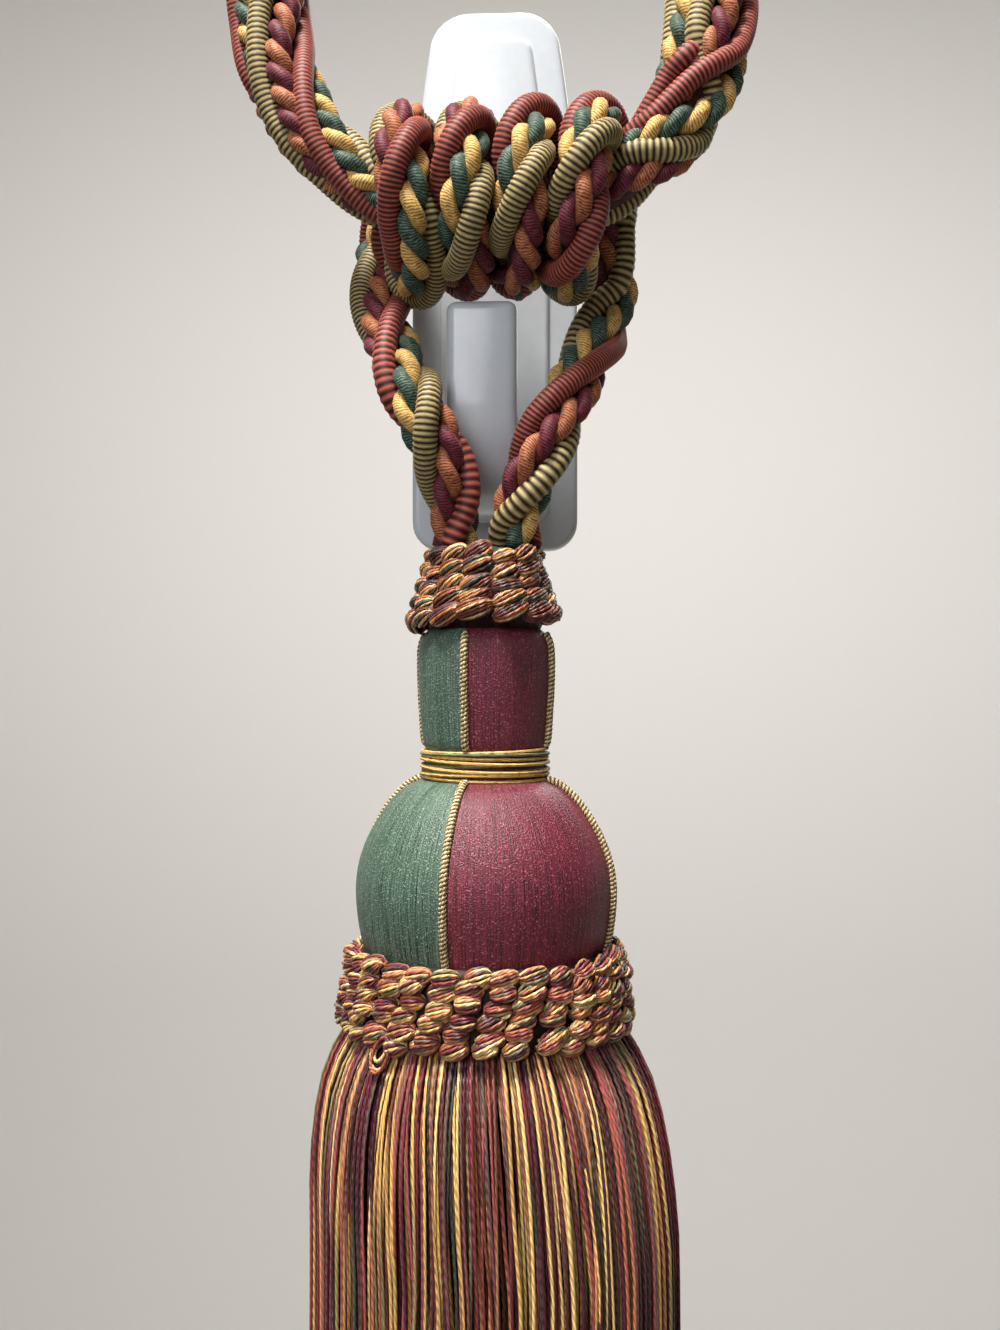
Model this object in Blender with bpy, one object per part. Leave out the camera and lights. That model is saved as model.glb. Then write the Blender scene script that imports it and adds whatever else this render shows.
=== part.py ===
"""Curtain tieback tassel hanging on an adhesive wall hook.

The wall is the plane y = 0, the front faces -Y and up is +Z.  The origin is the middle of the back face of
the hook's plate.  Sizes are in metres and angles in turns unless a name says otherwise.

A thick rope loop (the part that goes round a curtain) runs through a winding of the tassel's own rope.  The
winding rests on the tip of the hook's finger, and its two legs pass the finger and go down to the tassel:
an upper ruff, a turned head wound with thread, a lower ruff and a fringed skirt.
"""

from math import copysign, cos, pi, radians, sin, tan, tau

import bmesh
import bpy
import numpy as np
from mathutils import Matrix, Vector

GAP = 0.0003  # clearance between neighbouring pieces
FRONT = Vector((0, -1, 0))

# Wall hook
PLATE_HALF_WIDTH = 0.0201
PLATE_HALF_HEIGHT = 0.0654
PLATE_SHOULDER = (0.0178, 0.0440)  # half-width and height where the plate starts to narrow strongly
PLATE_TOP_HALF_WIDTH = 0.0146
PLATE_TAPER_START = 0.020
PLATE_THICKNESS = 0.004
PLATE_EDGE_ROUND = 0.0014
PANEL_INSET = 0.0068
PANEL_RISE = 0.0013
CORNER_STEPS = 3
FINGER_X = -0.0005
FINGER_FRONT = -0.0431
FINGER_HALF_THICKNESS = 0.0028
FINGER_HALF_WIDTH = 0.0077
FINGER_ROOT_HALF_WIDTH = 0.0115
FINGER_ROOT_HALF_THICKNESS = 0.0042
FINGER_FLARE = 0.0026  # the finger's half-width grows by this much down to the root
FINGER_CORNER = 0.0024
FINGER_BEND_HEIGHT = -0.0360  # the straight front part ends here and the bend back to the plate begins
FINGER_BEND_RADIUS = 0.0192
FINGER_TIP_ROUND = 0.0030
BEND_STEPS = 8

# Winding of the hanging rope round the loop rope
WINDING_Y = -0.0400
WINDING_HEIGHT = 0.0070
WINDING_RADIUS = 0.0150  # centre of the rope in the winding
WINDING_PITCH = 0.0117
WINDING_FIRST_FRONT_X = -0.0150
WINDING_TURNS = 4
WINDING_WAVE = 0.0045  # the fronts stand upright and lean a little to the left; the backs take up the pitch
WINDING_WAVE_LOSS = 0.0007  # the lean fades by this much a turn
WINDING_STEPS = 12
WINDING_TWIST_PER_TURN = 360 / 126
WINDING_FIRST_OLIVE = 137 / 360  # where the olive cord first faces out, in turns of the winding
ROPE_HALF_SIDE = 0.0054  # half-width of the rope along the winding, where its turns press together
ROPE_BACK_SQUEEZE = 0.0002  # the turns are this much narrower at the back and wider at the front
ROPE_HALF_OUT = 0.0075
FINGER_DENT = 0.0012  # how far the finger's tip presses into the turns above it
ROPE_SPACING = 0.0058

# Legs of the hanging rope: hand-placed rows of
# x, y, height, half-width, half-depth, twist in turns
LEFT_LEG = (
    (-0.0060, -0.0428, -0.0676, 0.0060, 0.0064, 0.22),
    (-0.0062, -0.0434, -0.0615, 0.0063, 0.0065, 0.34),
    (-0.0067, -0.0452, -0.0560, 0.0067, 0.0067, 0.46),
    (-0.0084, -0.0477, -0.0492, 0.0070, 0.0070, 0.60),
    (-0.0114, -0.0492, -0.0425, 0.0070, 0.0070, 0.76),
    (-0.0148, -0.0476, -0.0355, 0.0070, 0.0070, 0.95),
    (-0.0182, -0.0428, -0.0285, 0.0070, 0.0070, 1.13),
    (-0.0213, -0.0363, -0.0205, 0.0070, 0.0070, 1.30),
    (-0.0243, -0.0284, -0.0118, 0.0070, 0.0070, 1.50),
    (-0.0261, -0.0196, -0.0030, 0.0070, 0.0070, 1.70),
    (-0.0261, -0.0132, 0.0052, 0.0068, 0.0068, 1.88),
    (-0.0243, -0.0112, 0.0138, 0.0062, 0.0062, 2.05),
    (-0.0222, -0.0136, 0.0212, 0.0054, 0.0054, 2.20),
    (-0.0210, -0.0194, 0.0233, 0.0050, 0.0046, 2.32),
    (-0.0206, -0.0241, 0.0180, 0.0049, 0.0050, 2.44),
    (-0.0206, -0.0250, 0.0100, 0.0046, 0.0056, 2.56),
)
RIGHT_LEG = (
    (0.0268, -0.0247, 0.0015, 0.0058, 0.0074, 11.08),
    (0.0275, -0.0232, -0.0045, 0.0065, 0.0072, 11.17),
    (0.0274, -0.0226, -0.0100, 0.0070, 0.0070, 11.26),
    (0.0261, -0.0250, -0.0160, 0.0070, 0.0070, 11.36),
    (0.0236, -0.0310, -0.0228, 0.0070, 0.0070, 11.50),
    (0.0207, -0.0378, -0.0300, 0.0070, 0.0070, 11.63),
    (0.0174, -0.0430, -0.0372, 0.0070, 0.0070, 11.78),
    (0.0141, -0.0454, -0.0440, 0.0070, 0.0070, 11.95),
    (0.0111, -0.0456, -0.0510, 0.0070, 0.0070, 12.10),
    (0.0087, -0.0445, -0.0565, 0.0068, 0.0069, 12.22),
    (0.0071, -0.0431, -0.0615, 0.0064, 0.0066, 12.34),
    (0.0067, -0.0426, -0.0676, 0.0060, 0.0064, 12.50),
)

# Loop rope: hand-placed rows of x, y, height, half-width, half-depth, twist in turns.  It starts and ends at
# the hidden join in the middle of the winding.
LOOP_ROPE = (
    (0.0017, -0.0400, 0.0070, 0.0068, 0.0068, 0.00),
    (-0.0095, -0.0400, 0.0070, 0.0068, 0.0068, 0.14),
    (-0.0195, -0.0401, 0.0073, 0.0068, 0.0068, 0.25),
    (-0.0258, -0.0405, 0.0106, 0.0070, 0.0070, 0.34),
    (-0.0316, -0.0406, 0.0163, 0.0075, 0.0075, 0.42),
    (-0.0374, -0.0399, 0.0222, 0.0080, 0.0080, 0.50),
    (-0.0418, -0.0384, 0.0297, 0.0085, 0.0085, 0.59),
    (-0.0462, -0.0355, 0.0400, 0.0091, 0.0091, 0.69),
    (-0.0490, -0.0318, 0.0530, 0.0094, 0.0094, 0.80),
    (-0.0500, -0.0280, 0.0670, 0.0098, 0.0098, 0.91),
    (-0.0500, -0.0236, 0.0855, 0.0100, 0.0100, 1.07),
    (-0.0492, -0.0196, 0.1080, 0.0101, 0.0101, 1.26),
    (-0.0478, -0.0162, 0.1330, 0.0101, 0.0101, 1.47),
    (-0.0460, -0.0136, 0.1590, 0.0101, 0.0101, 1.68),
    (-0.0428, -0.0120, 0.1840, 0.0101, 0.0101, 1.89),
    (-0.0360, -0.0113, 0.2070, 0.0101, 0.0101, 2.10),
    (-0.0248, -0.0110, 0.2240, 0.0101, 0.0101, 2.28),
    (-0.0095, -0.0110, 0.2335, 0.0101, 0.0101, 2.44),
    (0.0075, -0.0110, 0.2330, 0.0101, 0.0101, 2.58),
    (0.0232, -0.0110, 0.2245, 0.0101, 0.0101, 2.73),
    (0.0352, -0.0113, 0.2080, 0.0101, 0.0101, 2.90),
    (0.0428, -0.0120, 0.1850, 0.0101, 0.0101, 3.10),
    (0.0466, -0.0136, 0.1600, 0.0101, 0.0101, 3.31),
    (0.0486, -0.0162, 0.1340, 0.0102, 0.0102, 3.52),
    (0.0498, -0.0196, 0.1090, 0.0103, 0.0103, 3.73),
    (0.0504, -0.0236, 0.0860, 0.0104, 0.0104, 3.92),
    (0.0504, -0.0278, 0.0670, 0.0104, 0.0104, 4.08),
    (0.0497, -0.0318, 0.0530, 0.0104, 0.0104, 4.21),
    (0.0480, -0.0358, 0.0400, 0.0100, 0.0100, 4.33),
    (0.0446, -0.0388, 0.0290, 0.0093, 0.0093, 4.43),
    (0.0388, -0.0404, 0.0200, 0.0086, 0.0086, 4.53),
    (0.0325, -0.0407, 0.0138, 0.0077, 0.0077, 4.62),
    (0.0268, -0.0404, 0.0091, 0.0069, 0.0069, 4.71),
    (0.0200, -0.0401, 0.0071, 0.0068, 0.0068, 4.80),
    (0.0110, -0.0400, 0.0070, 0.0068, 0.0068, 4.90),
    (0.0023, -0.0400, 0.0070, 0.0068, 0.0068, 5.00),
)
LOOP_SPACING = 0.0066

# Cross-sections of the ropes: places in one strand's share of the turn, and the radius there
HANGING_STRANDS = 4
HANGING_STRAND_SHAPE = ((0.0, 0.83), (0.3, 1.0), (0.7, 1.0))
LOOP_STRANDS = 8
LOOP_STRAND_SHAPE = ((0.0, 0.88), (0.5, 1.0))

# Tassel
TASSEL_X = 0.0003
TASSEL_Y = -0.0420
SEAM_AZIMUTHS = tuple(radians(-13.5 + 90 * quarter) for quarter in range(4))  # from the front towards +X

# Head: rows of radius, height and depth of the grooves under the seam cords
HEAD_PROFILE = (
    (0.0090, -0.0856, 0.0),
    (0.0132, -0.0862, 0.0),
    (0.0145, -0.0876, 0.0009),
    (0.0147, -0.0905, 0.0009),
    (0.0145, -0.0970, 0.0009),
    (0.0140, -0.1040, 0.0009),
    (0.0136, -0.1098, 0.0009),
    (0.0129, -0.1110, 0.0026),
    (0.0129, -0.1172, 0.0026),
    (0.0146, -0.1184, 0.0009),
    (0.0178, -0.1199, 0.0009),
    (0.0217, -0.1228, 0.0009),
    (0.0249, -0.1272, 0.0009),
    (0.0268, -0.1332, 0.0009),
    (0.0276, -0.1400, 0.0009),
    (0.0273, -0.1462, 0.0009),
    (0.0264, -0.1515, 0.0009),
    (0.0243, -0.1575, 0.0),
    (0.0213, -0.1624, 0.0),
    (0.0170, -0.1650, 0.0),
)
SEAM_ROWS = range(2, 17)  # the rows of the profile that the seam cords follow, down to the lower ruff
SEAM_RADIUS = 0.0010
SEAM_SIDES = 5
GROOVE_HALF_WIDTH = 0.0016
GROOVE_SHAPE = ((-1.0, 0.0), (-0.7, 0.85), (0.0, 1.0), (0.7, 0.85), (1.0, 0.0))
PANEL_COLUMNS = 6

BINDING_TOP = -0.1110
BINDING_BOTTOM = -0.1173
BINDING_INNER = 0.0132
BINDING_THREADS = 5
BINDING_OUTER = 0.0141
BINDING_VALLEY = 0.0137
BINDING_SEGMENTS = 28

# Ruffs: rows of radius and height down the outside, before the knots are raised
UPPER_RUFF_PROFILE = (
    (0.0108, -0.0684),
    (0.0116, -0.0702),
    (0.0118, -0.0722),
    (0.0127, -0.0742),
    (0.0129, -0.0762),
    (0.0141, -0.0783),
    (0.0144, -0.0803),
    (0.0156, -0.0825),
    (0.0151, -0.0852),
)
UPPER_RUFF_KNOTS = 12
UPPER_KNOT_RISE = 0.0018
LOWER_RUFF_PROFILE = (
    (0.0274, -0.1524),
    (0.0283, -0.1540),
    (0.0285, -0.1558),
    (0.0291, -0.1576),
    (0.0291, -0.1594),
    (0.0296, -0.1612),
    (0.0296, -0.1630),
    (0.0300, -0.1648),
    (0.0300, -0.1666),
    (0.0302, -0.1684),
    (0.0296, -0.1704),
)
LOWER_RUFF_INNER = ((0.0259, -0.1680), (0.0260, -0.1560), (0.0267, -0.1528))
LOWER_RUFF_KNOTS = 30
LOWER_KNOT_RISE = 0.0013

# Skirt: rows of the outer surface's radius and height
SKIRT_PROFILE = (
    (0.0242, -0.1675),
    (0.0252, -0.1693),
    (0.0300, -0.1730),
    (0.0345, -0.1805),
    (0.0372, -0.1920),
    (0.0384, -0.2080),
    (0.0388, -0.2360),
    (0.0392, -0.3150),
)
SKIRT_SWAY = 0.0022  # the skirt hangs this far to the right of the head by its third-last row
BACKING_RADIUS = 0.0255
BACKING_TOP = -0.1654
BACKING_BOTTOM = -0.1686
# Rings of locks: number of locks, share of the skirt's radius
LOCK_RINGS = ((40, 1.0), (28, 0.72), (16, 0.43), (5, 0.15))
LOCK_FULLNESS = 0.52  # radius of a lock as a share of the distance to the next one
LOCK_SIDES = 3
LOCK_UNEVEN = 0.0030


def clear_scene():
    for obj in list(bpy.data.objects):
        bpy.data.objects.remove(obj, do_unlink=True)


def plain_material(name, colour, roughness, metallic=0.0):
    material = bpy.data.materials.new(name)
    material.use_nodes = True
    shader = material.node_tree.nodes["Principled BSDF"]
    shader.inputs["Base Color"].default_value = (*colour, 1)
    shader.inputs["Roughness"].default_value = roughness
    shader.inputs["Metallic"].default_value = metallic
    return material


def add_object(name, bm, material, smooth=True):
    bmesh.ops.recalc_face_normals(bm, faces=bm.faces)
    mesh = bpy.data.meshes.new(name)
    bm.to_mesh(mesh)
    bm.free()
    if smooth:
        mesh.shade_smooth()
    mesh.materials.append(material)
    obj = bpy.data.objects.new(name, mesh)
    bpy.context.collection.objects.link(obj)
    return obj


def join_shape(obj, other):
    """Unites obj with a helper shape that the render leaves out."""
    other.hide_render = True
    other.display_type = "WIRE"
    union = obj.modifiers.new("join_" + other.name, "BOOLEAN")
    union.operation = "UNION"
    union.solver = "EXACT"
    union.object = other


def skin_rings(bm, rings):
    """A closed body through rings of as many points each, with a flat cap at either end."""
    loops = [[bm.verts.new(point) for point in ring] for ring in rings]
    count = len(loops[0])
    for lower, upper in zip(loops, loops[1:]):
        for k in range(count):
            after = (k + 1) % count
            bm.faces.new((lower[k], lower[after], upper[after], upper[k]))
    bm.faces.new(loops[0])
    bm.faces.new(loops[-1])


def smooth_rows(rows, steps=10):
    """Rows of numbers read from a smooth curve through the given rows."""
    rows = np.array(rows)
    ends = np.vstack([2 * rows[0] - rows[1], rows, 2 * rows[-1] - rows[-2]])
    fine = []
    for a, b, c, d in zip(ends, ends[1:], ends[2:], ends[3:]):
        for step in range(steps):
            t = step / steps
            bend = (2 * a - 5 * b + 4 * c - d) * t**2 + (3 * b - a - 3 * c + d) * t**3
            fine.append(b + ((c - a) * t + bend) / 2)
    fine.append(rows[-1])
    return np.array(fine)


def even_rows(rows, spacing):
    """The rows read at even distances along their line; their first three columns are x, y and height."""
    lengths = np.linalg.norm(np.diff(rows[:, :3], axis=0), axis=1)
    along = np.concatenate([[0], np.cumsum(lengths)])
    places = np.linspace(0, along[-1], round(along[-1] / spacing) + 1)
    return np.column_stack([np.interp(places, along, column) for column in rows.T])


def strand_section(strands, shape):
    """Points round a rope of so many strands, as place in turns and share of the radius."""
    return [((strand + place - 0.5) / strands, share) for strand in range(strands) for place, share in shape]


def rope_body(bm, rows, spacing, section, side_axis):
    """A twisted rope along rows of x, y, height, half-width, half-depth and twist in turns."""
    rows = even_rows(smooth_rows(rows), spacing)
    points = [Vector(row[:3]) for row in rows]
    rings = []
    for k, (point, row) in enumerate(zip(points, rows)):
        along = (points[min(k + 1, len(points) - 1)] - points[max(k - 1, 0)]).normalized()
        side = (side_axis - along * side_axis.dot(along)).normalized()
        out = along.cross(side)
        half_side, half_out, twist = (float(value) for value in row[3:])
        ring = []
        for place, share in section:
            angle = tau * (place + twist)
            ring.append(point + share * (half_side * cos(angle) * side + half_out * sin(angle) * out))
        rings.append(ring)
    skin_rings(bm, rings)


def plate_ring(inset, y):
    """The plate's rounded outline moved inwards by inset, at one depth."""
    shoulder_half, shoulder_height = PLATE_SHOULDER
    right = (
        (PLATE_HALF_WIDTH - inset, inset - PLATE_HALF_HEIGHT, 0.0070),
        (PLATE_HALF_WIDTH - inset, PLATE_TAPER_START, 0.0500),
        (shoulder_half - inset, shoulder_height, 0.0300),
        (PLATE_TOP_HALF_WIDTH - inset, PLATE_HALF_HEIGHT - inset, 0.0060),
    )
    corners = [*right, *((-x, height, radius) for x, height, radius in reversed(right))]
    ring = []
    for k, (x, height, radius) in enumerate(corners):
        corner = Vector((x, height))
        before = (Vector(corners[k - 1][:2]) - corner).normalized()
        after = (Vector(corners[(k + 1) % len(corners)][:2]) - corner).normalized()
        opening = before.angle(after)
        radius = max(radius - inset, 0.0020)
        centre = corner + (before + after).normalized() * (radius / sin(opening / 2))
        start = corner + before * (radius / tan(opening / 2)) - centre
        finish = corner + after * (radius / tan(opening / 2)) - centre
        for step in range(CORNER_STEPS + 1):
            arm = start.normalized().slerp(finish.normalized(), step / CORNER_STEPS)
            x, height = centre + arm * radius
            ring.append(Vector((x, y, height)))
    return ring


def build_hook():
    """One white moulding: a plate that tapers at the top, and a finger that bends out and up from its foot."""
    plastic = plain_material("hook_plastic", (0.86, 0.87, 0.88), 0.18)
    front = -PLATE_THICKNESS
    edge = PLATE_EDGE_ROUND
    rings = [plate_ring(0, 0)]
    for step in range(3):
        angle = pi / 4 * step
        rings.append(plate_ring(edge * (1 - cos(angle)), front + edge * (1 - sin(angle))))
    rings.append(plate_ring(PANEL_INSET, front))
    rings.append(plate_ring(PANEL_INSET + PANEL_RISE, front - PANEL_RISE))
    bm = bmesh.new()
    skin_rings(bm, rings)
    hook = add_object("hook", bm, plastic)

    finger_y = FINGER_FRONT + FINGER_HALF_THICKNESS
    tip = WINDING_HEIGHT - WINDING_RADIUS - ROPE_HALF_OUT + FINGER_DENT - GAP
    # Rows of y, height, half-width, half-thickness, and the angle by which the finger has turned up
    foot = FINGER_BEND_HEIGHT - FINGER_BEND_RADIUS
    rows = [(front / 2, foot, FINGER_ROOT_HALF_WIDTH, FINGER_ROOT_HALF_THICKNESS, 0)]
    for step in range(BEND_STEPS + 1):
        angle = pi / 2 * step / BEND_STEPS
        y = finger_y + FINGER_BEND_RADIUS * (1 - sin(angle))
        height = FINGER_BEND_HEIGHT - FINGER_BEND_RADIUS * cos(angle)
        half_width = FINGER_HALF_WIDTH + FINGER_FLARE * cos(angle) ** 2
        half_thickness = FINGER_HALF_THICKNESS + FINGER_FLARE / 3 * cos(angle)
        rows.append((y, height, half_width, half_thickness, angle))
    for step in range(CORNER_STEPS + 1):
        angle = pi / 2 * step / CORNER_STEPS
        draw_in = FINGER_TIP_ROUND * (1 - cos(angle))
        height = tip - FINGER_TIP_ROUND * (1 - sin(angle))
        half_thickness = FINGER_HALF_THICKNESS - draw_in * 0.7
        rows.append((finger_y, height, FINGER_HALF_WIDTH - draw_in, half_thickness, pi / 2))
    corner_places = [radians(quarter * 90 + part) for quarter in range(4) for part in (8, 45, 82)]
    rings = []
    for y, height, half_width, half_thickness, angle in rows:
        outward = Vector((0, -sin(angle), -cos(angle)))
        corner = min(FINGER_CORNER, half_thickness * 0.85)
        ring = []
        for place in corner_places:
            across = corner * cos(place) + copysign(half_width - corner, cos(place))
            deep = corner * sin(place) + copysign(half_thickness - corner, sin(place))
            ring.append(Vector((FINGER_X + across, y, height)) + outward * deep)
        rings.append(ring)
    bm = bmesh.new()
    skin_rings(bm, rings)
    join_shape(hook, add_object("finger_shape", bm, plastic))
    hook.data.set_sharp_from_angle(angle=radians(35))


def winding_rows():
    """The rope's rows round the loop rope: down the back, under, up the front and over."""
    rows = []
    for step in range(WINDING_TURNS * WINDING_STEPS + 1):
        turn = step / WINDING_STEPS
        angle = tau * turn
        wave = WINDING_WAVE - WINDING_WAVE_LOSS * turn
        x = WINDING_FIRST_FRONT_X + WINDING_PITCH * (turn - 0.5) + wave * sin(angle)
        reach = FINGER_HALF_WIDTH + ROPE_HALF_SIDE + 0.0005 - abs(x - FINGER_X)
        dent = FINGER_DENT / 2 * min(1, max(0, reach / 0.002)) * max(0, sin(angle)) ** 6
        radius = WINDING_RADIUS - dent
        y = WINDING_Y + radius * cos(angle)
        height = WINDING_HEIGHT - radius * sin(angle)
        half_side = ROPE_HALF_SIDE - ROPE_BACK_SQUEEZE * cos(angle)
        twist = 0.75 + (turn - WINDING_FIRST_OLIVE) * WINDING_TWIST_PER_TURN
        rows.append((x, y, height, half_side, ROPE_HALF_OUT - dent, twist))
    return rows


def build_hanging_rope():
    """The tassel's own rope, gimp-wrapped cords and two-ply cords twisted together: leg, winding and leg.
    The left leg's top is tucked behind the first turn of the winding."""
    yarn = plain_material("hanging_rope_yarn", (0.42, 0.24, 0.12), 0.75)
    section = strand_section(HANGING_STRANDS, HANGING_STRAND_SHAPE)
    side_axis = Vector((1, 0, 0))
    bm = bmesh.new()
    rope_body(bm, [*winding_rows(), *RIGHT_LEG], ROPE_SPACING, section, side_axis)
    rope = add_object("hanging_rope", bm, yarn)
    bm = bmesh.new()
    rope_body(bm, LEFT_LEG, ROPE_SPACING, section, side_axis)
    join_shape(rope, add_object("left_leg_shape", bm, yarn))


def build_loop_rope():
    """The thick rope loop; its lower run is the core of the winding, where its two ends meet."""
    yarn = plain_material("loop_rope_yarn", (0.45, 0.27, 0.13), 0.75)
    bm = bmesh.new()
    rope_body(bm, LOOP_ROPE, LOOP_SPACING, strand_section(LOOP_STRANDS, LOOP_STRAND_SHAPE), FRONT)
    add_object("loop_rope", bm, yarn)


def round_point(radius, height, azimuth):
    """A point round the tassel's axis; azimuth 0 is the front and grows towards +X."""
    return Vector((TASSEL_X + radius * sin(azimuth), TASSEL_Y - radius * cos(azimuth), height))


def head_offset(row, distance):
    """Radius and height of a profile row moved out along the profile's normal."""
    before = HEAD_PROFILE[max(row - 1, 0)]
    after = HEAD_PROFILE[min(row + 1, len(HEAD_PROFILE) - 1)]
    along = Vector((after[0] - before[0], after[1] - before[1])).normalized()
    radius, height, _ = HEAD_PROFILE[row]
    return radius - along.y * distance, height + along.x * distance


def head_columns():
    """Azimuth, groove offset in half-widths and groove share for each column of the head."""
    columns = []
    for seam in SEAM_AZIMUTHS:
        columns += [(seam, offset, share) for offset, share in GROOVE_SHAPE]
        for step in range(1, PANEL_COLUMNS):
            columns.append((seam + tau / 4 * step / PANEL_COLUMNS, 0.0, 0.0))
    return columns


def build_head():
    """The turned mould wound with thread, with a groove under each seam cord."""
    thread = plain_material("head_thread", (0.16, 0.10, 0.09), 0.5)
    rings = []
    for row, (plain_radius, _, depth) in enumerate(HEAD_PROFILE):
        ring = []
        for azimuth, offset, share in head_columns():
            radius, height = head_offset(row, -depth * share)
            ring.append(round_point(radius, height, azimuth + offset * GROOVE_HALF_WIDTH / plain_radius))
        rings.append(ring)
    bm = bmesh.new()
    skin_rings(bm, rings)
    add_object("head", bm, thread)


def build_seam_cords():
    """Fine two-colour cords laid over the joins of the panels, under the neck binding."""
    yarn = plain_material("seam_cord_yarn", (0.42, 0.33, 0.20), 0.7)
    for number, azimuth in enumerate(SEAM_AZIMUTHS, start=1):
        across = Vector((cos(azimuth), sin(azimuth), 0))
        middles = []
        for row in SEAM_ROWS:
            rise = SEAM_RADIUS + GAP - HEAD_PROFILE[row][2]
            middles.append(round_point(*head_offset(row, rise), azimuth))
        rings = []
        for k, middle in enumerate(middles):
            along = (middles[min(k + 1, len(middles) - 1)] - middles[max(k - 1, 0)]).normalized()
            out = across.cross(along)
            angles = [tau * (side + 0.5) / SEAM_SIDES for side in range(SEAM_SIDES)]
            rings.append([middle + SEAM_RADIUS * (cos(a) * across + sin(a) * out) for a in angles])
        bm = bmesh.new()
        skin_rings(bm, rings)
        add_object(f"seam_cord_{number}", bm, yarn)


def turned_ring(bm, outside, inside, segments):
    """A closed ring round the tassel's axis from its outer rows, top to bottom, and its inner rows, bottom
    to top.  Each row is a function of the segment that gives radius and height, or a plain pair."""
    rows = [*outside, *inside]
    grid = []
    for segment in range(segments):
        azimuth = tau * segment / segments
        column = []
        for row in rows:
            radius, height = row(segment) if callable(row) else row
            column.append(bm.verts.new(round_point(radius, height, azimuth)))
        grid.append(column)
    for segment in range(segments):
        near = grid[segment]
        far = grid[(segment + 1) % segments]
        for k in range(len(rows)):
            after = (k + 1) % len(rows)
            bm.faces.new((near[k], far[k], far[after], near[after]))


def build_neck_binding():
    """Gold threads wound side by side round the neck, over the seam cords."""
    thread = plain_material("binding_thread", (0.62, 0.45, 0.16), 0.45)
    step = (BINDING_TOP - BINDING_BOTTOM) / BINDING_THREADS
    outside = [(BINDING_INNER + 0.0002, BINDING_TOP)]
    for turn in range(BINDING_THREADS):
        outside.append((BINDING_OUTER, BINDING_TOP - step * (turn + 0.5)))
        if turn < BINDING_THREADS - 1:
            outside.append((BINDING_VALLEY, BINDING_TOP - step * (turn + 1)))
    outside.append((BINDING_INNER + 0.0002, BINDING_BOTTOM))
    inside = [(BINDING_INNER, BINDING_BOTTOM + 0.0003), (BINDING_INNER, BINDING_TOP - 0.0003)]
    bm = bmesh.new()
    turned_ring(bm, outside, inside, BINDING_SEGMENTS)
    add_object("neck_binding", bm, thread)


def build_upper_ruff():
    """Columns of looped yarn knots that flare out over the top of the head."""
    yarn = plain_material("upper_ruff_yarn", (0.50, 0.28, 0.13), 0.8)
    verts_per_knot = 3
    segments = UPPER_RUFF_KNOTS * verts_per_knot
    rings = []
    for level, (radius, height) in enumerate(UPPER_RUFF_PROFILE):
        level_share = 1.0 if level % 2 else 0.45
        ring = []
        for segment in range(segments):
            knot_share = (-0.15, 0.85, 1.0)[segment % verts_per_knot]
            lean = 0.35 * (level % 2)
            azimuth = tau * (segment + lean) / segments
            ring.append(round_point(radius + UPPER_KNOT_RISE * knot_share * level_share, height, azimuth))
        rings.append(ring)
    bm = bmesh.new()
    skin_rings(bm, rings)
    add_object("upper_ruff", bm, yarn)


def build_lower_ruff():
    """Five rows of looped yarn knots, each row set half a knot along from the last, round the bulb's foot."""
    yarn = plain_material("lower_ruff_yarn", (0.50, 0.28, 0.13), 0.8)
    segments = LOWER_RUFF_KNOTS * 2

    def knot_row(level, radius, height):
        def place(segment):
            if level % 2 == 0:
                return radius + LOWER_KNOT_RISE * 0.25, height
            raised = (segment + level // 2) % 2 == 0
            return radius + LOWER_KNOT_RISE * (1.0 if raised else -0.1), height

        return place

    outside = [knot_row(level, radius, height) for level, (radius, height) in enumerate(LOWER_RUFF_PROFILE)]
    bm = bmesh.new()
    turned_ring(bm, outside, LOWER_RUFF_INNER, segments)
    add_object("lower_ruff", bm, yarn)


def uneven(number):
    """A repeatable value from -1 to 1 for one lock."""
    return sin(number * 12.9898 + 4.1414) * cos(number * 78.233)


def skirt_surface(depth):
    """Radius, height and sway of the skirt's surface at a depth from 0 to 1 along its rows."""
    place = depth * (len(SKIRT_PROFILE) - 1)
    row = min(int(place), len(SKIRT_PROFILE) - 2)
    part = place - row
    (radius, height), (next_radius, next_height) = SKIRT_PROFILE[row], SKIRT_PROFILE[row + 1]
    sway = SKIRT_SWAY * min(1.0, max(0.0, (place - 1) / (len(SKIRT_PROFILE) - 3)))
    return radius + (next_radius - radius) * part, height + (next_height - height) * part, sway


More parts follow.
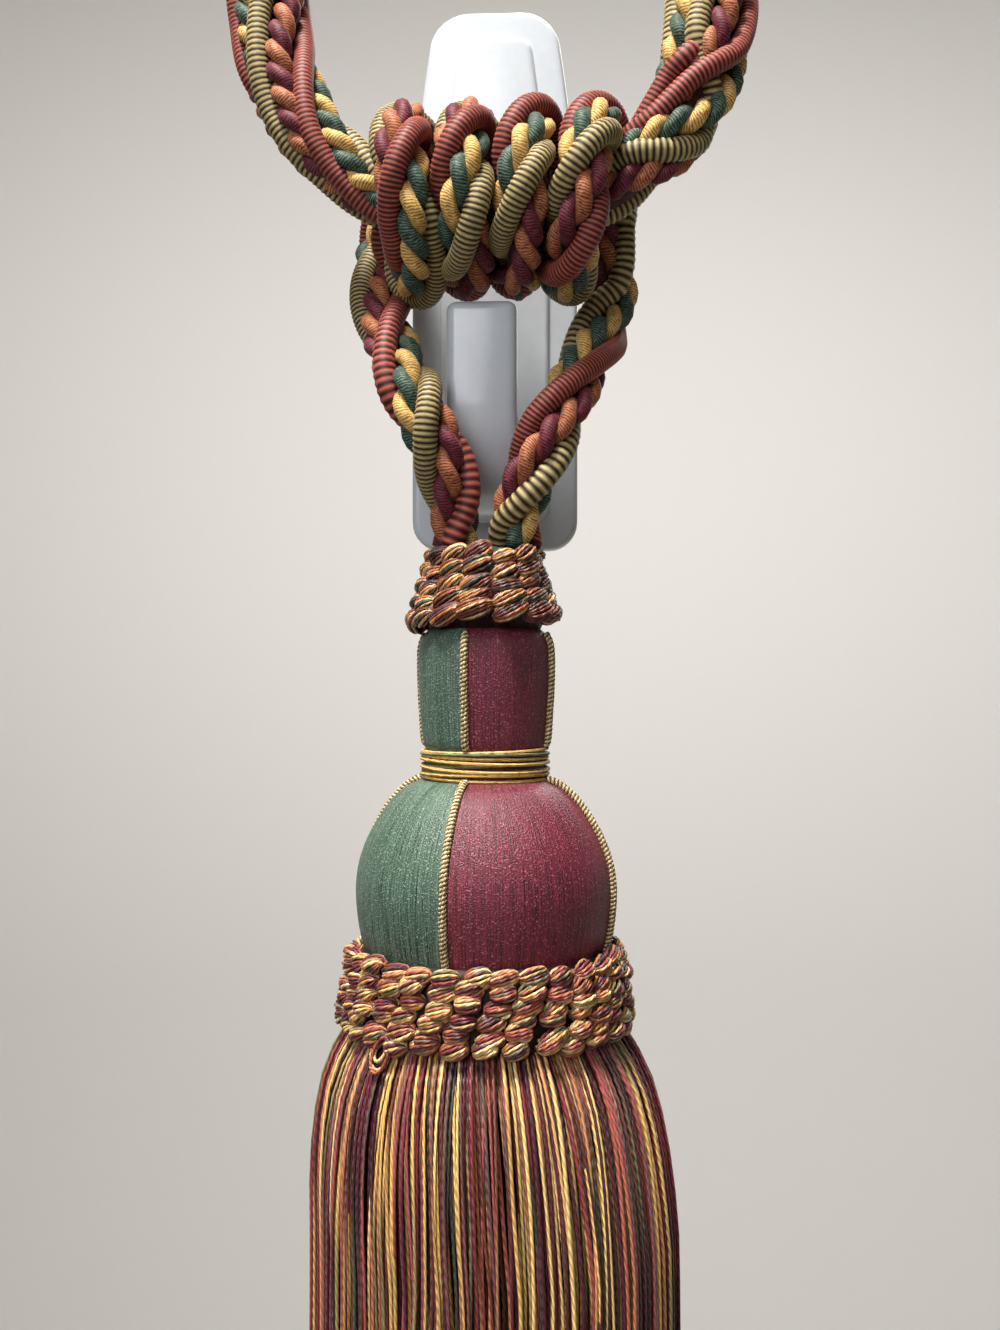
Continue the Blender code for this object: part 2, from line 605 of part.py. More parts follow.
def build_skirt():
    """The fringe: locks of yarn that part below a thin disc in which their roots are fused."""
    yarn = plain_material("skirt_yarn", (0.45, 0.22, 0.12), 0.8)
    bm = bmesh.new()
    bmesh.ops.create_cone(
        bm,
        cap_ends=True,
        segments=36,
        radius1=BACKING_RADIUS,
        radius2=BACKING_RADIUS,
        depth=BACKING_TOP - BACKING_BOTTOM,
        matrix=Matrix.Translation(round_point(0, (BACKING_TOP + BACKING_BOTTOM) / 2, 0)),
    )
    skirt = add_object("skirt", bm, yarn)
    bm = bmesh.new()
    levels = len(SKIRT_PROFILE)
    number = 0
    for count, share in LOCK_RINGS:
        for lock in range(count):
            number += 1
            azimuth = tau * (lock + 0.06 * uneven(number)) / count
            rings = []
            for level in range(levels):
                radius, height, sway = skirt_surface(level / (levels - 1))
                thickness = LOCK_FULLNESS * tau * radius * share / (count + LOCK_FULLNESS * pi)
                middle = round_point(radius * share - thickness / 2, height, azimuth)
                middle.x += sway
                if level == levels - 1:
                    middle.z += LOCK_UNEVEN * uneven(number + 0.5)
                ring = []
                for side in range(LOCK_SIDES):
                    angle = azimuth + tau * (side + 0.5) / LOCK_SIDES
                    ring.append(middle + thickness * Vector((sin(angle), -cos(angle), 0)))
                rings.append(ring)
            skin_rings(bm, rings)
    join_shape(skirt, add_object("lock_shapes", bm, yarn))


clear_scene()
build_hook()
build_loop_rope()
build_hanging_rope()
build_upper_ruff()
build_head()
build_seam_cords()
build_neck_binding()
build_lower_ruff()
build_skirt()
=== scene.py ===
"""Curtain tieback tassel hanging on its adhesive wall hook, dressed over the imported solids.

The wall is the plane y = 0, the front faces -Y and up is +Z.  Sizes are in metres, angles along a rope are in
turns, and colours are sRGB hex values.
"""

from math import atan, cos, pi, radians, sin, tau
from random import Random

import bmesh
import bpy
import numpy as np
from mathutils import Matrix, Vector


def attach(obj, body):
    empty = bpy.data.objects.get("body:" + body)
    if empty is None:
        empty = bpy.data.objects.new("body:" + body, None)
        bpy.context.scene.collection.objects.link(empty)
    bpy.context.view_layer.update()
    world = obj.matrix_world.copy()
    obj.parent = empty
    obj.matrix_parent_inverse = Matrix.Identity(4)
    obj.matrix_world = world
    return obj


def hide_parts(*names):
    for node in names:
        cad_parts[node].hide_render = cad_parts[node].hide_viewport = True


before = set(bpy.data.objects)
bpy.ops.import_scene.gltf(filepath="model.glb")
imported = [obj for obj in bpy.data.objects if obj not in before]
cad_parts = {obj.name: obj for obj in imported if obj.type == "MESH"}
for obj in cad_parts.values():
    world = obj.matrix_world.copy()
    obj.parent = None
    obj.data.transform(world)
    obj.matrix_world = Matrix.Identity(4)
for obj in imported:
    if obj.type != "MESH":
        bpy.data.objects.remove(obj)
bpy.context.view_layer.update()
bpy.ops.object.select_all(action="DESELECT")


# ---------------------------------------------------------------------------------------------- Camera
# A level camera a forearm's length in front of the wall, just right of the tassel and turned slightly left.

FOCAL_PIXELS = 1400
LONG_SIDE_PIXELS = 1330
LOOK_LEFT_PIXELS = 79  # straight ahead lies this far to the right of the middle of the view
CAMERA_PLACE = (0.0205, -0.3430, -0.0932)
camera_data = bpy.data.cameras.new("camera")
camera_data.sensor_width = 36
camera_data.lens = camera_data.sensor_width * FOCAL_PIXELS / LONG_SIDE_PIXELS
camera_data.clip_start = 0.01
camera = bpy.data.objects.new("camera", camera_data)
camera.location = CAMERA_PLACE
camera.rotation_euler = (pi / 2, 0, atan(LOOK_LEFT_PIXELS / FOCAL_PIXELS))
bpy.context.collection.objects.link(camera)
bpy.context.scene.camera = camera


# ---------------------------------------------------------------------------------------------- Hook
# A large adhesive hook, moulded in one piece of white ABS: a flat plate that narrows at the top, with a low
# raised panel, and a broad finger that leaves the plate in a quarter turn and stands up in front.  It
# sticks to the wall by the flat back of its plate.

PLATE_HALF_WIDTH = 0.0201
PLATE_HALF_HEIGHT = 0.0654
PLATE_THICKNESS = 0.0040
PLATE_TAPER = ((0.0200, 1.0), (0.0440, 0.886), (PLATE_HALF_HEIGHT, 0.726))  # height and share of the width
PLATE_FOOT_ROUND = 0.0070
PLATE_TOP_ROUND = 0.0080
PLATE_EDGE_ROUND = 0.0014
TAPER_ROUND = 0.0085  # the sides bend over this much of their length on either side of a taper's level
CORNER_STEPS = 8
PANEL_INSET = 0.0068
PANEL_BACK = -0.0020  # inside the plate
PANEL_CORNER_ROUND = 0.0030
PANEL_TAPER = ((0.0200, 1.0), (0.0400, 0.85), (0.0600, 0.66))
PANEL_RISE = 0.0013
FINGER_PLACE = (-0.0005, -0.0403, -0.0360)  # middle of the finger where its straight part meets the bend
FINGER_WIDTH = 0.0154
FINGER_THICKNESS = 0.0056
FINGER_CORNER = 0.0023
FINGER_TOP = -0.0146
FINGER_TIP_ROUND = 0.0026
FINGER_BEND_RADIUS = 0.0192
FINGER_BEND_STEPS = 14
FINGER_ROOT_WIDEN = 1.38
FINGER_ROOT_THICKEN = 1.3
FINGER_ROOT_END = -0.0020  # inside the plate, as the two are one moulding
HOOK_CREASE_ANGLE = radians(32)
TOUCHING = 1e-5  # two places closer than this are the same place


def linear(hex_value):
    """Linear RGBA of an sRGB hex value."""
    channels = [int(hex_value[k : k + 2], 16) / 255 for k in (1, 3, 5)]
    return (*[c / 12.92 if c <= 0.04045 else ((c + 0.055) / 1.055) ** 2.4 for c in channels], 1)


def new_finish(name):
    """An empty material: its tree, and its Principled shader joined to the output."""
    finish = bpy.data.materials.new(name)
    finish.use_nodes = True
    return finish, finish.node_tree.nodes["Principled BSDF"]


def add_node(finish, kind, settings=None, links=None):
    """A new node with its settings (properties or input values) and the sockets that feed its inputs."""
    node = finish.node_tree.nodes.new(kind)
    for name, value in (settings or {}).items():
        if isinstance(name, str) and hasattr(node, name):
            setattr(node, name, value)
        else:
            node.inputs[name].default_value = value
    for name, socket in (links or {}).items():
        finish.node_tree.links.new(socket, node.inputs[name])
    return node


def pick(kind, test):
    """In edit mode, selects only the faces, edges or vertices that pass the test."""
    bpy.ops.mesh.select_mode(type=kind)
    bpy.ops.mesh.select_all(action="DESELECT")
    shape = bmesh.from_edit_mesh(bpy.context.object.data)
    for item in {"VERT": shape.verts, "EDGE": shape.edges, "FACE": shape.faces}[kind]:
        if test(item):
            item.select_set(True)
    shape.select_flush_mode()
    bmesh.update_edit_mesh(bpy.context.object.data)


# Moulded ABS with a polished surface: the eye gets sharp reflections of the lamps that waver a little, every
# 20 mm or so where the plastic has sunk as it cooled, and a thin film of dust that dulls them in places
hook_white, hook_shader = new_finish("polished_white_abs")
place = add_node(hook_white, "ShaderNodeTexCoord")
sink = add_node(
    hook_white, "ShaderNodeTexNoise", {"Scale": 45, "Detail": 1.0}, {"Vector": place.outputs["Object"]}
)
dust = add_node(
    hook_white, "ShaderNodeTexNoise", {"Scale": 420, "Detail": 4.0}, {"Vector": place.outputs["Object"]}
)
gloss = add_node(
    hook_white, "ShaderNodeMapRange", {"To Min": 0.10, "To Max": 0.26}, {"Value": dust.outputs["Fac"]}
)
tint = add_node(
    hook_white,
    "ShaderNodeMix",
    {"data_type": "RGBA", 6: linear("#C4CBD2"), 7: linear("#B9C0C8")},
    {0: dust.outputs["Fac"]},
)
wave = add_node(
    hook_white, "ShaderNodeBump", {"Strength": 0.35, "Distance": 0.0006}, {"Height": sink.outputs["Fac"]}
)
hook_white.node_tree.links.new(tint.outputs[2], hook_shader.inputs["Base Color"])
hook_white.node_tree.links.new(gloss.outputs["Result"], hook_shader.inputs["Roughness"])
hook_white.node_tree.links.new(wave.outputs["Normal"], hook_shader.inputs["Normal"])
hook_shader.inputs["IOR"].default_value = 1.53


def mould_slab(half_width, half_height, back, front, taper, foot_round, top_round, edge_round):
    """A flat slab that narrows at the top, with rounded corners and a rounded front edge."""
    middle = (back + front) / 2
    bpy.ops.mesh.primitive_cube_add(size=2, location=(0, middle, 0))
    slab = bpy.context.object
    slab.scale = (half_width, (back - front) / 2, half_height)
    bpy.ops.object.transform_apply()
    bpy.ops.object.mode_set(mode="EDIT")
    for height, share in taper[:-1]:
        bpy.ops.mesh.select_all(action="SELECT")
        bpy.ops.mesh.bisect(plane_co=(0, 0, height), plane_no=(0, 0, 1))
    for height, share in taper:
        pick("VERT", lambda corner: abs(corner.co.z - height) < TOUCHING)
        bpy.ops.transform.resize(value=(share, 1, 1), center_override=(0, middle, height))
    rounds = [(-half_height, foot_round, CORNER_STEPS), (half_height, top_round, CORNER_STEPS)]
    rounds += [(height, TAPER_ROUND, CORNER_STEPS // 2) for height, share in taper[:-1]]
    for level, size, steps in rounds:
        pick(
            "EDGE",
            lambda edge: abs(edge.verts[0].co.y - edge.verts[1].co.y) > (back - front) / 2
            and all(abs(end.co.z - level) < TOUCHING for end in edge.verts),
        )
        bpy.ops.mesh.bevel(offset=size, offset_type="OFFSET", segments=steps, affect="EDGES")
    # The levels of the taper left lines across the two faces; without them each face is one outline
    pick("EDGE", lambda edge: len(edge.link_faces) == 2 and edge.calc_face_angle(1) < 1e-4)
    bpy.ops.mesh.dissolve_edges(use_verts=False)
    pick("FACE", lambda face: face.normal.y < -0.9)
    bpy.ops.mesh.bevel(offset=edge_round, segments=4, affect="EDGES")
    bpy.ops.object.mode_set(mode="OBJECT")
    return slab


plate = mould_slab(
    PLATE_HALF_WIDTH,
    PLATE_HALF_HEIGHT,
    0,
    -PLATE_THICKNESS,
    PLATE_TAPER,
    PLATE_FOOT_ROUND,
    PLATE_TOP_ROUND,
    PLATE_EDGE_ROUND,
)
panel_height = PLATE_HALF_HEIGHT - PANEL_INSET
panel = mould_slab(
    PLATE_HALF_WIDTH - PANEL_INSET,
    panel_height,
    PANEL_BACK,
    -PLATE_THICKNESS - PANEL_RISE,
    [(min(height, panel_height), share) for height, share in PANEL_TAPER],
    PANEL_CORNER_ROUND,
    PANEL_CORNER_ROUND,
    PANEL_RISE,
)

bpy.ops.mesh.primitive_plane_add(size=2, location=FINGER_PLACE)
finger = bpy.context.object
finger.scale = (FINGER_WIDTH / 2, FINGER_THICKNESS / 2, 1)
bpy.ops.object.transform_apply()
bpy.ops.object.mode_set(mode="EDIT")
bpy.ops.mesh.select_all(action="SELECT")
bpy.ops.mesh.bevel(offset=FINGER_CORNER, segments=5, affect="VERTICES")
bpy.ops.mesh.select_mode(type="FACE")
bpy.ops.mesh.select_all(action="SELECT")
bpy.ops.mesh.extrude_region_move(TRANSFORM_OT_translate={"value": (0, 0, FINGER_TOP - FINGER_PLACE[2])})
pick("EDGE", lambda edge: all(abs(end.co.z - FINGER_TOP) < TOUCHING for end in edge.verts))
bpy.ops.mesh.bevel(offset=FINGER_TIP_ROUND, segments=5, affect="EDGES", clamp_overlap=True)
pick("FACE", lambda face: all(abs(corner.co.z - FINGER_PLACE[2]) < TOUCHING for corner in face.verts))
bend_middle = (FINGER_PLACE[0], FINGER_PLACE[1] + FINGER_BEND_RADIUS, FINGER_PLACE[2])
for step in range(FINGER_BEND_STEPS):
    bpy.ops.mesh.spin(steps=1, angle=-pi / 2 / FINGER_BEND_STEPS, center=bend_middle, axis=(1, 0, 0))
    before = sin(pi / 2 * step / FINGER_BEND_STEPS) ** 2
    after = sin(pi / 2 * (step + 1) / FINGER_BEND_STEPS) ** 2
    wider = (1 + (FINGER_ROOT_WIDEN - 1) * after) / (1 + (FINGER_ROOT_WIDEN - 1) * before)
    thicker = (1 + (FINGER_ROOT_THICKEN - 1) * after) / (1 + (FINGER_ROOT_THICKEN - 1) * before)
    bpy.ops.transform.resize(value=(wider, thicker, thicker))
bpy.ops.mesh.extrude_region_move(TRANSFORM_OT_translate={"value": (0, FINGER_ROOT_END - bend_middle[1], 0)})
bpy.ops.mesh.select_all(action="SELECT")
bpy.ops.mesh.remove_doubles(threshold=1e-6)
bpy.ops.mesh.normals_make_consistent(inside=False)
bpy.ops.object.mode_set(mode="OBJECT")

bpy.ops.object.select_all(action="DESELECT")
for shape in (plate, panel, finger):
    shape.select_set(True)
bpy.context.view_layer.objects.active = plate
bpy.ops.object.join()
hook = plate
hook.name = hook.data.name = "hook_moulding"
hook.data.materials.clear()
hook.data.materials.append(hook_white)
hook.select_set(True)
bpy.ops.object.shade_smooth_by_angle(angle=HOOK_CREASE_ANGLE)
bpy.ops.object.select_all(action="DESELECT")
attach(hook, "root")
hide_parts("hook")


# ---------------------------------------------------------------------------------------------- Loop rope
# The thick loop that goes round a curtain: four kinds of cord, two of each, laid up together.  Olive and
# rust gimp cords are a thick thread wound tightly over a dark core; the other four are pairs of spun rayon
# yarn.  The lower run, inside the winding, is where the rope's two ends meet and are tied off.

# Rows of x, y, height, half-width, half-depth and twist in turns.  The twist is the rope's own from the left
# arm over the top; the cords' places in the two arms are in LEFT_ARM and RIGHT_ARM.
LOOP_ROPE = (
    (0.0017, -0.0400, 0.0070, 0.0068, 0.0068, -0.50),
    (-0.0095, -0.0400, 0.0070, 0.0068, 0.0068, -0.45),
    (-0.0195, -0.0401, 0.0073, 0.0068, 0.0068, -0.39),
    (-0.0258, -0.0405, 0.0106, 0.0070, 0.0070, -0.33),
    (-0.0316, -0.0406, 0.0163, 0.0075, 0.0075, -0.27),
    (-0.0374, -0.0399, 0.0222, 0.0080, 0.0080, -0.20),
    (-0.0418, -0.0384, 0.0297, 0.0085, 0.0085, -0.14),
    (-0.0462, -0.0355, 0.0400, 0.0091, 0.0091, -0.07),
    (-0.0490, -0.0318, 0.0530, 0.0094, 0.0094, 0.02),
    (-0.0500, -0.0280, 0.0670, 0.0098, 0.0098, 0.13),
    (-0.0500, -0.0236, 0.0855, 0.0100, 0.0100, 0.31),
    (-0.0492, -0.0196, 0.1080, 0.0101, 0.0101, 0.53),
    (-0.0478, -0.0162, 0.1330, 0.0101, 0.0101, 0.78),
    (-0.0460, -0.0136, 0.1590, 0.0101, 0.0101, 1.03),
    (-0.0428, -0.0120, 0.1840, 0.0101, 0.0101, 1.28),
    (-0.0360, -0.0113, 0.2070, 0.0101, 0.0101, 1.52),
    (-0.0248, -0.0110, 0.2240, 0.0101, 0.0101, 1.72),
    (-0.0095, -0.0110, 0.2335, 0.0101, 0.0101, 1.90),
    (0.0075, -0.0110, 0.2330, 0.0101, 0.0101, 2.07),
    (0.0232, -0.0110, 0.2245, 0.0101, 0.0101, 2.24),
    (0.0352, -0.0113, 0.2080, 0.0101, 0.0101, 2.44),
    (0.0428, -0.0120, 0.1850, 0.0101, 0.0101, 2.68),
    (0.0466, -0.0136, 0.1600, 0.0101, 0.0101, 2.92),
    (0.0486, -0.0162, 0.1340, 0.0102, 0.0102, 3.17),
    (0.0498, -0.0196, 0.1090, 0.0103, 0.0103, 3.38),
    (0.0504, -0.0236, 0.0860, 0.0104, 0.0104, 3.53),
    (0.0504, -0.0278, 0.0670, 0.0104, 0.0104, 3.65),
    (0.0497, -0.0318, 0.0530, 0.0104, 0.0104, 3.75),
    (0.0480, -0.0358, 0.0400, 0.0100, 0.0100, 3.83),
    (0.0446, -0.0388, 0.0290, 0.0093, 0.0093, 3.93),
    (0.0388, -0.0404, 0.0200, 0.0086, 0.0086, 4.02),
    (0.0325, -0.0407, 0.0138, 0.0077, 0.0077, 4.12),
    (0.0268, -0.0404, 0.0091, 0.0069, 0.0069, 4.20),
    (0.0200, -0.0401, 0.0071, 0.0068, 0.0068, 4.30),
    (0.0110, -0.0400, 0.0070, 0.0068, 0.0068, 4.40),
    (0.0023, -0.0400, 0.0070, 0.0068, 0.0068, 4.50),
)
LOOP_CORD_COUNT = 8
# Where each cord lies in the rope's cross-section at some rows of LOOP_ROPE: row, angle in turns (0 faces
# the front) and distance from the middle as a share.  Cords 0 and 4 are olive gimp, 1 and 5 burgundy and
# rust yarn, 2 and 6 rust gimp, 3 and 7 green and gold yarn.
LEFT_ARM = {
    0: ((3, -0.33, 1.0), (4, -0.25, 1.0), (5, -0.20, 1.0), (6, -0.17, 1.0), (7, -0.074, 1.0), (8, 0.01, 1.0)),
    1: ((3, -0.28, 0.8), (4, -0.20, 0.9), (5, -0.08, 1.0), (6, -0.02, 1.0), (7, 0.05, 1.0), (8, 0.17, 1.0)),
    2: ((3, -0.12, 1.0), (4, -0.08, 1.0), (5, 0.01, 1.0), (6, 0.10, 1.0), (7, 0.22, 1.0), (8, 0.30, 1.0)),
    3: ((3, 0.00, 1.0), (4, 0.07, 1.0), (5, 0.18, 1.0), (6, 0.25, 1.0), (7, 0.36, 1.0), (8, 0.42, 1.0)),
    4: ((3, 0.15, 1.0), (4, 0.25, 1.0), (5, 0.36, 1.0), (6, 0.42, 1.0), (7, 0.48, 1.0), (8, 0.53, 1.0)),
    5: ((3, 0.50, 1.0), (4, 0.64, 1.0), (5, 0.75, 1.0), (6, 0.75, 1.0), (7, 0.68, 1.0), (8, 0.64, 1.0)),
    6: ((3, 0.40, 0.8), (4, 0.47, 0.8), (5, 0.54, 0.7), (6, 0.62, 0.7), (7, 0.74, 1.0), (8, 0.75, 1.0)),
    7: ((3, 0.60, 0.4), (4, 0.70, 0.3), (5, 0.80, 0.3), (6, 0.80, 0.4), (7, 0.84, 0.7), (8, 0.88, 0.9)),
}
RIGHT_ARM = {
    0: (
        (27, 0.02, 1.0),
        (28, 0.065, 0.95),
        (28.5, 0.0, 0.6),
        (29.1, -0.25, 0.7),
        (29.6, -0.25, 1.0),
        (30, -0.17, 1.0),
        (31, 0.06, 1.0),
        (32, 0.15, 1.0),
    ),
    1: (
        (27, -0.10, 1.0),
        (28, -0.04, 0.95),
        (28.5, 0.02, 0.7),
        (29, 0.05, 0.4),
        (30, 0.20, 0.3),
        (31, 0.30, 0.4),
        (32, 0.40, 0.5),
    ),
    2: (
        (27, -0.25, 1.0),
        (28, -0.17, 1.0),
        (29, 0.02, 1.0),
        (30, 0.11, 1.0),
        (31, 0.22, 1.0),
        (32, 0.30, 1.0),
    ),
    3: ((27, 0.11, 1.0), (28, 0.18, 1.0), (29, 0.32, 1.0), (30, 0.40, 1.0), (31, 0.48, 1.0), (32, 0.55, 1.0)),
    4: ((27, 0.23, 1.0), (28, 0.28, 1.0), (29, 0.43, 1.0), (30, 0.52, 1.0), (31, 0.60, 1.0), (32, 0.68, 1.0)),
    5: ((27, 0.50, 1.0), (28, 0.56, 1.0), (29, 0.63, 1.0), (30, 0.72, 1.0), (31, 0.88, 1.0), (32, 0.98, 1.0)),
    6: (
        (27, 0.36, 0.9),
        (27.6, 0.25, 0.5),
        (28.1, 0.08, 0.55),
        (28.5, 0.09, 0.95),
        (29, 0.18, 1.0),
        (30, 0.27, 1.0),
        (31, 0.38, 1.0),
        (32, 0.46, 1.0),
    ),
    7: ((27, 0.62, 1.0), (28, 0.70, 1.0), (29, 0.80, 1.0), (30, 1.01, 1.0), (31, 1.13, 1.0), (32, 1.22, 1.0)),
}
LOOP_TOP_ROWS = range(9, 27)  # over the top, between the arms, the cords lie evenly round the rope
LOOP_TRADE_ROWS = (20, 27)  # on the way down to the right arm these cords move round by this many turns
LOOP_TRADES = {0: 0.27, 2: -0.25, 5: 0.125, 6: -0.14}
LOOP_DIVING_CORDS = (2, 6)  # and these pass half-way into the rope under the others
LOOP_END_TWIST = (0.15, 0.20)  # turns that every cord makes inside the winding, at the left and at the right
ROPE_STEP = 0.001
LOOP_OLIVE_RADIUS = 0.0027
LOOP_RUST_RADIUS = 0.0024
OLIVE_RIBS = ((0, 0.00125), (1, 0.00125))  # share of the length, distance between turns of the wrapping
RUST_RIBS = ((0, 0.00108), (1, 0.00108))
GIMP_SIDES = 12
GIMP_RING = (0.91, 1.0)  # radius of the wrapping in the groove and on top of a turn of it
YARN_RADIUS = 0.00175
YARN_PAIR_RADIUS = 0.00145  # how far each yarn of a pair lies from the middle of the pair
YARN_PAIR_PITCH = 0.0110
YARN_SIDES = 10
YARN_STEP = 0.0016
LOOP_CORE_RADIUS = 0.0046
LOOP_CORE_STEP = 0.004
LOOP_YARN_DEPTH = 0.0032  # middle of a yarn pair inside the rope's surface


def colour_stops(node, stops):
    """Sets a colour ramp's stops, as pairs of place and sRGB colour."""
    ramp = node.color_ramp
    while len(ramp.elements) > 1:
        ramp.elements.remove(ramp.elements[-1])
    ramp.elements[0].position, ramp.elements[0].color = stops[0][0], linear(stops[0][1])
    for place, colour in stops[1:]:
        ramp.elements.new(place).color = linear(colour)


def gimp_finish(name, thread, thread_light, core):
    """Gimp: a satin thread wound over a dark core.  The eye gets round ribs with a painted highlight along
    each crest and dark lines between them, where the grooves take the core's colour: the core and painted
    shade in the groove.
    Along each rib run the lines of the wound filaments, 0.1 mm apart and drawn twice as coarse."""
    finish, shader = new_finish(name)
    uv = add_node(finish, "ShaderNodeUVMap", {"uv_map": "UVMap"})
    split = add_node(finish, "ShaderNodeSeparateXYZ", links={"Vector": uv.outputs["UV"]})
    across_rib = add_node(finish, "ShaderNodeMath", {"operation": "FRACT"}, {0: split.outputs["X"]})
    rib = add_node(finish, "ShaderNodeValToRGB", links={"Fac": across_rib.outputs[0]})
    # Painted shade: the grooves take the dark core's colour; painted highlight: each rib's crest is lighter
    groove = ((0.0, core), (0.15, core))
    top = ((0.34, thread), (0.56, thread_light), (0.78, thread))
    colour_stops(rib, (*groove, *top, (0.94, core)))
    filaments = add_node(
        finish,
        "ShaderNodeTexNoise",
        {"noise_dimensions": "1D", "Scale": 7.0, "Detail": 2.0},
        {"W": split.outputs["X"]},
    )
    place = add_node(finish, "ShaderNodeTexCoord")
    wear = add_node(
        finish, "ShaderNodeTexNoise", {"Scale": 700, "Detail": 2.0}, {"Vector": place.outputs["Object"]}
    )
    both = add_node(
        finish,
        "ShaderNodeMix",
        {"data_type": "FLOAT", 0: 0.5},
        {2: filaments.outputs["Fac"], 3: wear.outputs["Fac"]},
    )
    worn = add_node(
        finish,
        "ShaderNodeMapRange",
        {"From Min": 0.32, "From Max": 0.68, "To Min": 0.6, "To Max": 1.18},
        {"Value": both.outputs[0]},
    )
    shade = add_node(
        finish,
        "ShaderNodeMix",
        {"data_type": "RGBA", "blend_type": "MULTIPLY", 0: 1.0},
        {6: rib.outputs["Color"], 7: worn.outputs["Result"]},
    )
    bump = add_node(
        finish, "ShaderNodeBump", {"Strength": 0.4, "Distance": 0.0002}, {"Height": both.outputs[0]}
    )
    links = finish.node_tree.links
    links.new(shade.outputs[2], shader.inputs["Base Color"])
    links.new(bump.outputs["Normal"], shader.inputs["Normal"])
    shader.inputs["Roughness"].default_value = 0.56
    shader.inputs["Specular IOR Level"].default_value = 0.25
    shader.inputs["Sheen Weight"].default_value = 0.04
    shader.inputs["Sheen Roughness"].default_value = 0.4
    return finish


def yarn_finish(name, colour, light, dark):
    """Spun rayon yarn, matt and slightly hairy.  The eye gets fine slanted lines of filaments, 0.1 mm apart
    and drawn 0.5 mm apart, and a soft mottle."""
    finish, shader = new_finish(name)
    uv = add_node(finish, "ShaderNodeUVMap", {"uv_map": "UVMap"})
    place = add_node(finish, "ShaderNodeTexCoord")
    mottle = add_node(
        finish, "ShaderNodeTexNoise", {"Scale": 900, "Detail": 4.0}, {"Vector": place.outputs["Object"]}
    )
    lay = add_node(
        finish, "ShaderNodeVectorMath", {"operation": "DOT_PRODUCT", 1: (3.2, 5, 0)}, {0: uv.outputs["UV"]}
    )
    wander = add_node(
        finish,
        "ShaderNodeMath",
        {"operation": "MULTIPLY_ADD", 1: 1.6},
        {0: mottle.outputs["Fac"], 2: lay.outputs["Value"]},
    )
    lines = add_node(finish, "ShaderNodeTexWave", {"Scale": 0.314}, {"Vector": wander.outputs[0]})
    both = add_node(
        finish,
        "ShaderNodeMix",
        {"data_type": "FLOAT", 0: 0.62},
        {2: lines.outputs["Fac"], 3: mottle.outputs["Fac"]},
    )
    tone = add_node(finish, "ShaderNodeValToRGB", links={"Fac": both.outputs[0]})
    colour_stops(tone, ((0.26, dark), (0.47, colour), (0.70, light)))
    bump = add_node(
        finish, "ShaderNodeBump", {"Strength": 0.35, "Distance": 0.0002}, {"Height": both.outputs[0]}
    )
    links = finish.node_tree.links
    links.new(tone.outputs["Color"], shader.inputs["Base Color"])
    links.new(bump.outputs["Normal"], shader.inputs["Normal"])
    shader.inputs["Roughness"].default_value = 0.6
    shader.inputs["Specular IOR Level"].default_value = 0.25
    shader.inputs["Sheen Weight"].default_value = 0.05
    shader.inputs["Sheen Roughness"].default_value = 0.4
    return finish


# Each gimp: its thread, the painted highlight on a rib's crest, and its core, which also paints the groove's
# shade
olive_gimp = gimp_finish("olive_gimp_cord", "#917F50", "#BFB083", "#2A1E14")
rust_gimp = gimp_finish("rust_gimp_cord", "#873C34", "#AE6452", "#361216")
gold_yarn = yarn_finish("gold_rayon_yarn", "#B88F48", "#DDBC7A", "#77552A")
green_yarn = yarn_finish("green_rayon_yarn", "#283B30", "#5B7164", "#14201A")
burgundy_yarn = yarn_finish("burgundy_rayon_yarn", "#541B27", "#7B3541", "#2A0C14")
rust_yarn = yarn_finish("rust_rayon_yarn", "#925036", "#B97C56", "#55291C")
core_yarn = yarn_finish("dark_core_yarn", "#33201A", "#4A3026", "#1C100E")


def smooth_rows(rows, steps=12):
    """Rows of numbers read from a smooth curve through the given rows."""
    rows = np.array(rows)
    ends = np.vstack([2 * rows[0] - rows[1], rows, 2 * rows[-1] - rows[-2]])
    fine = []
    for a, b, c, d in zip(ends, ends[1:], ends[2:], ends[3:]):
        for step in range(steps):
            t = step / steps
            bend = (2 * a - 5 * b + 4 * c - d) * t**2 + (3 * b - a - 3 * c + d) * t**3
            fine.append(b + ((c - a) * t + bend) / 2)
    fine.append(rows[-1])
    return np.array(fine)


def even_rows(rows, spacing):
    """The rows read at even distances along their line; their first three columns are x, y and height."""
    along = distances(rows[:, :3])
    places = np.linspace(0, along[-1], round(along[-1] / spacing) + 1)
    return np.column_stack([np.interp(places, along, column) for column in rows.T])


def unit(vectors):
    """The vectors, each made one unit long."""
    return vectors / np.linalg.norm(vectors, axis=1)[:, None]


def distances(points):
    """How far along its line each point is from the first."""
    return np.concatenate([[0], np.cumsum(np.linalg.norm(np.diff(points, axis=0), axis=1))])


def rope_section(points, side_axis):
    """The two directions across a rope at each of its points: to its side, and out of it."""
    along = unit(np.gradient(points, axis=0))
    side_axis = np.array(side_axis, float)
    side = unit(side_axis - along * (along @ side_axis)[:, None])
    return side, np.cross(along, side)


SKEW = (0.31, 0.52, 0.79)  # a direction in which no cord starts


def free_section(points):
    """Two directions across a cord at each of its points that don't turn about it."""
    along = unit(np.gradient(points, axis=0))
    across = np.empty_like(points)
    across[0] = np.cross(along[0], SKEW)
    for k in range(1, len(points)):
        across[k] = across[k - 1] - along[k] * (along[k] @ across[k - 1])
        across[k] /= np.linalg.norm(across[k])
    across = unit(across)
    return across, np.cross(along, across)


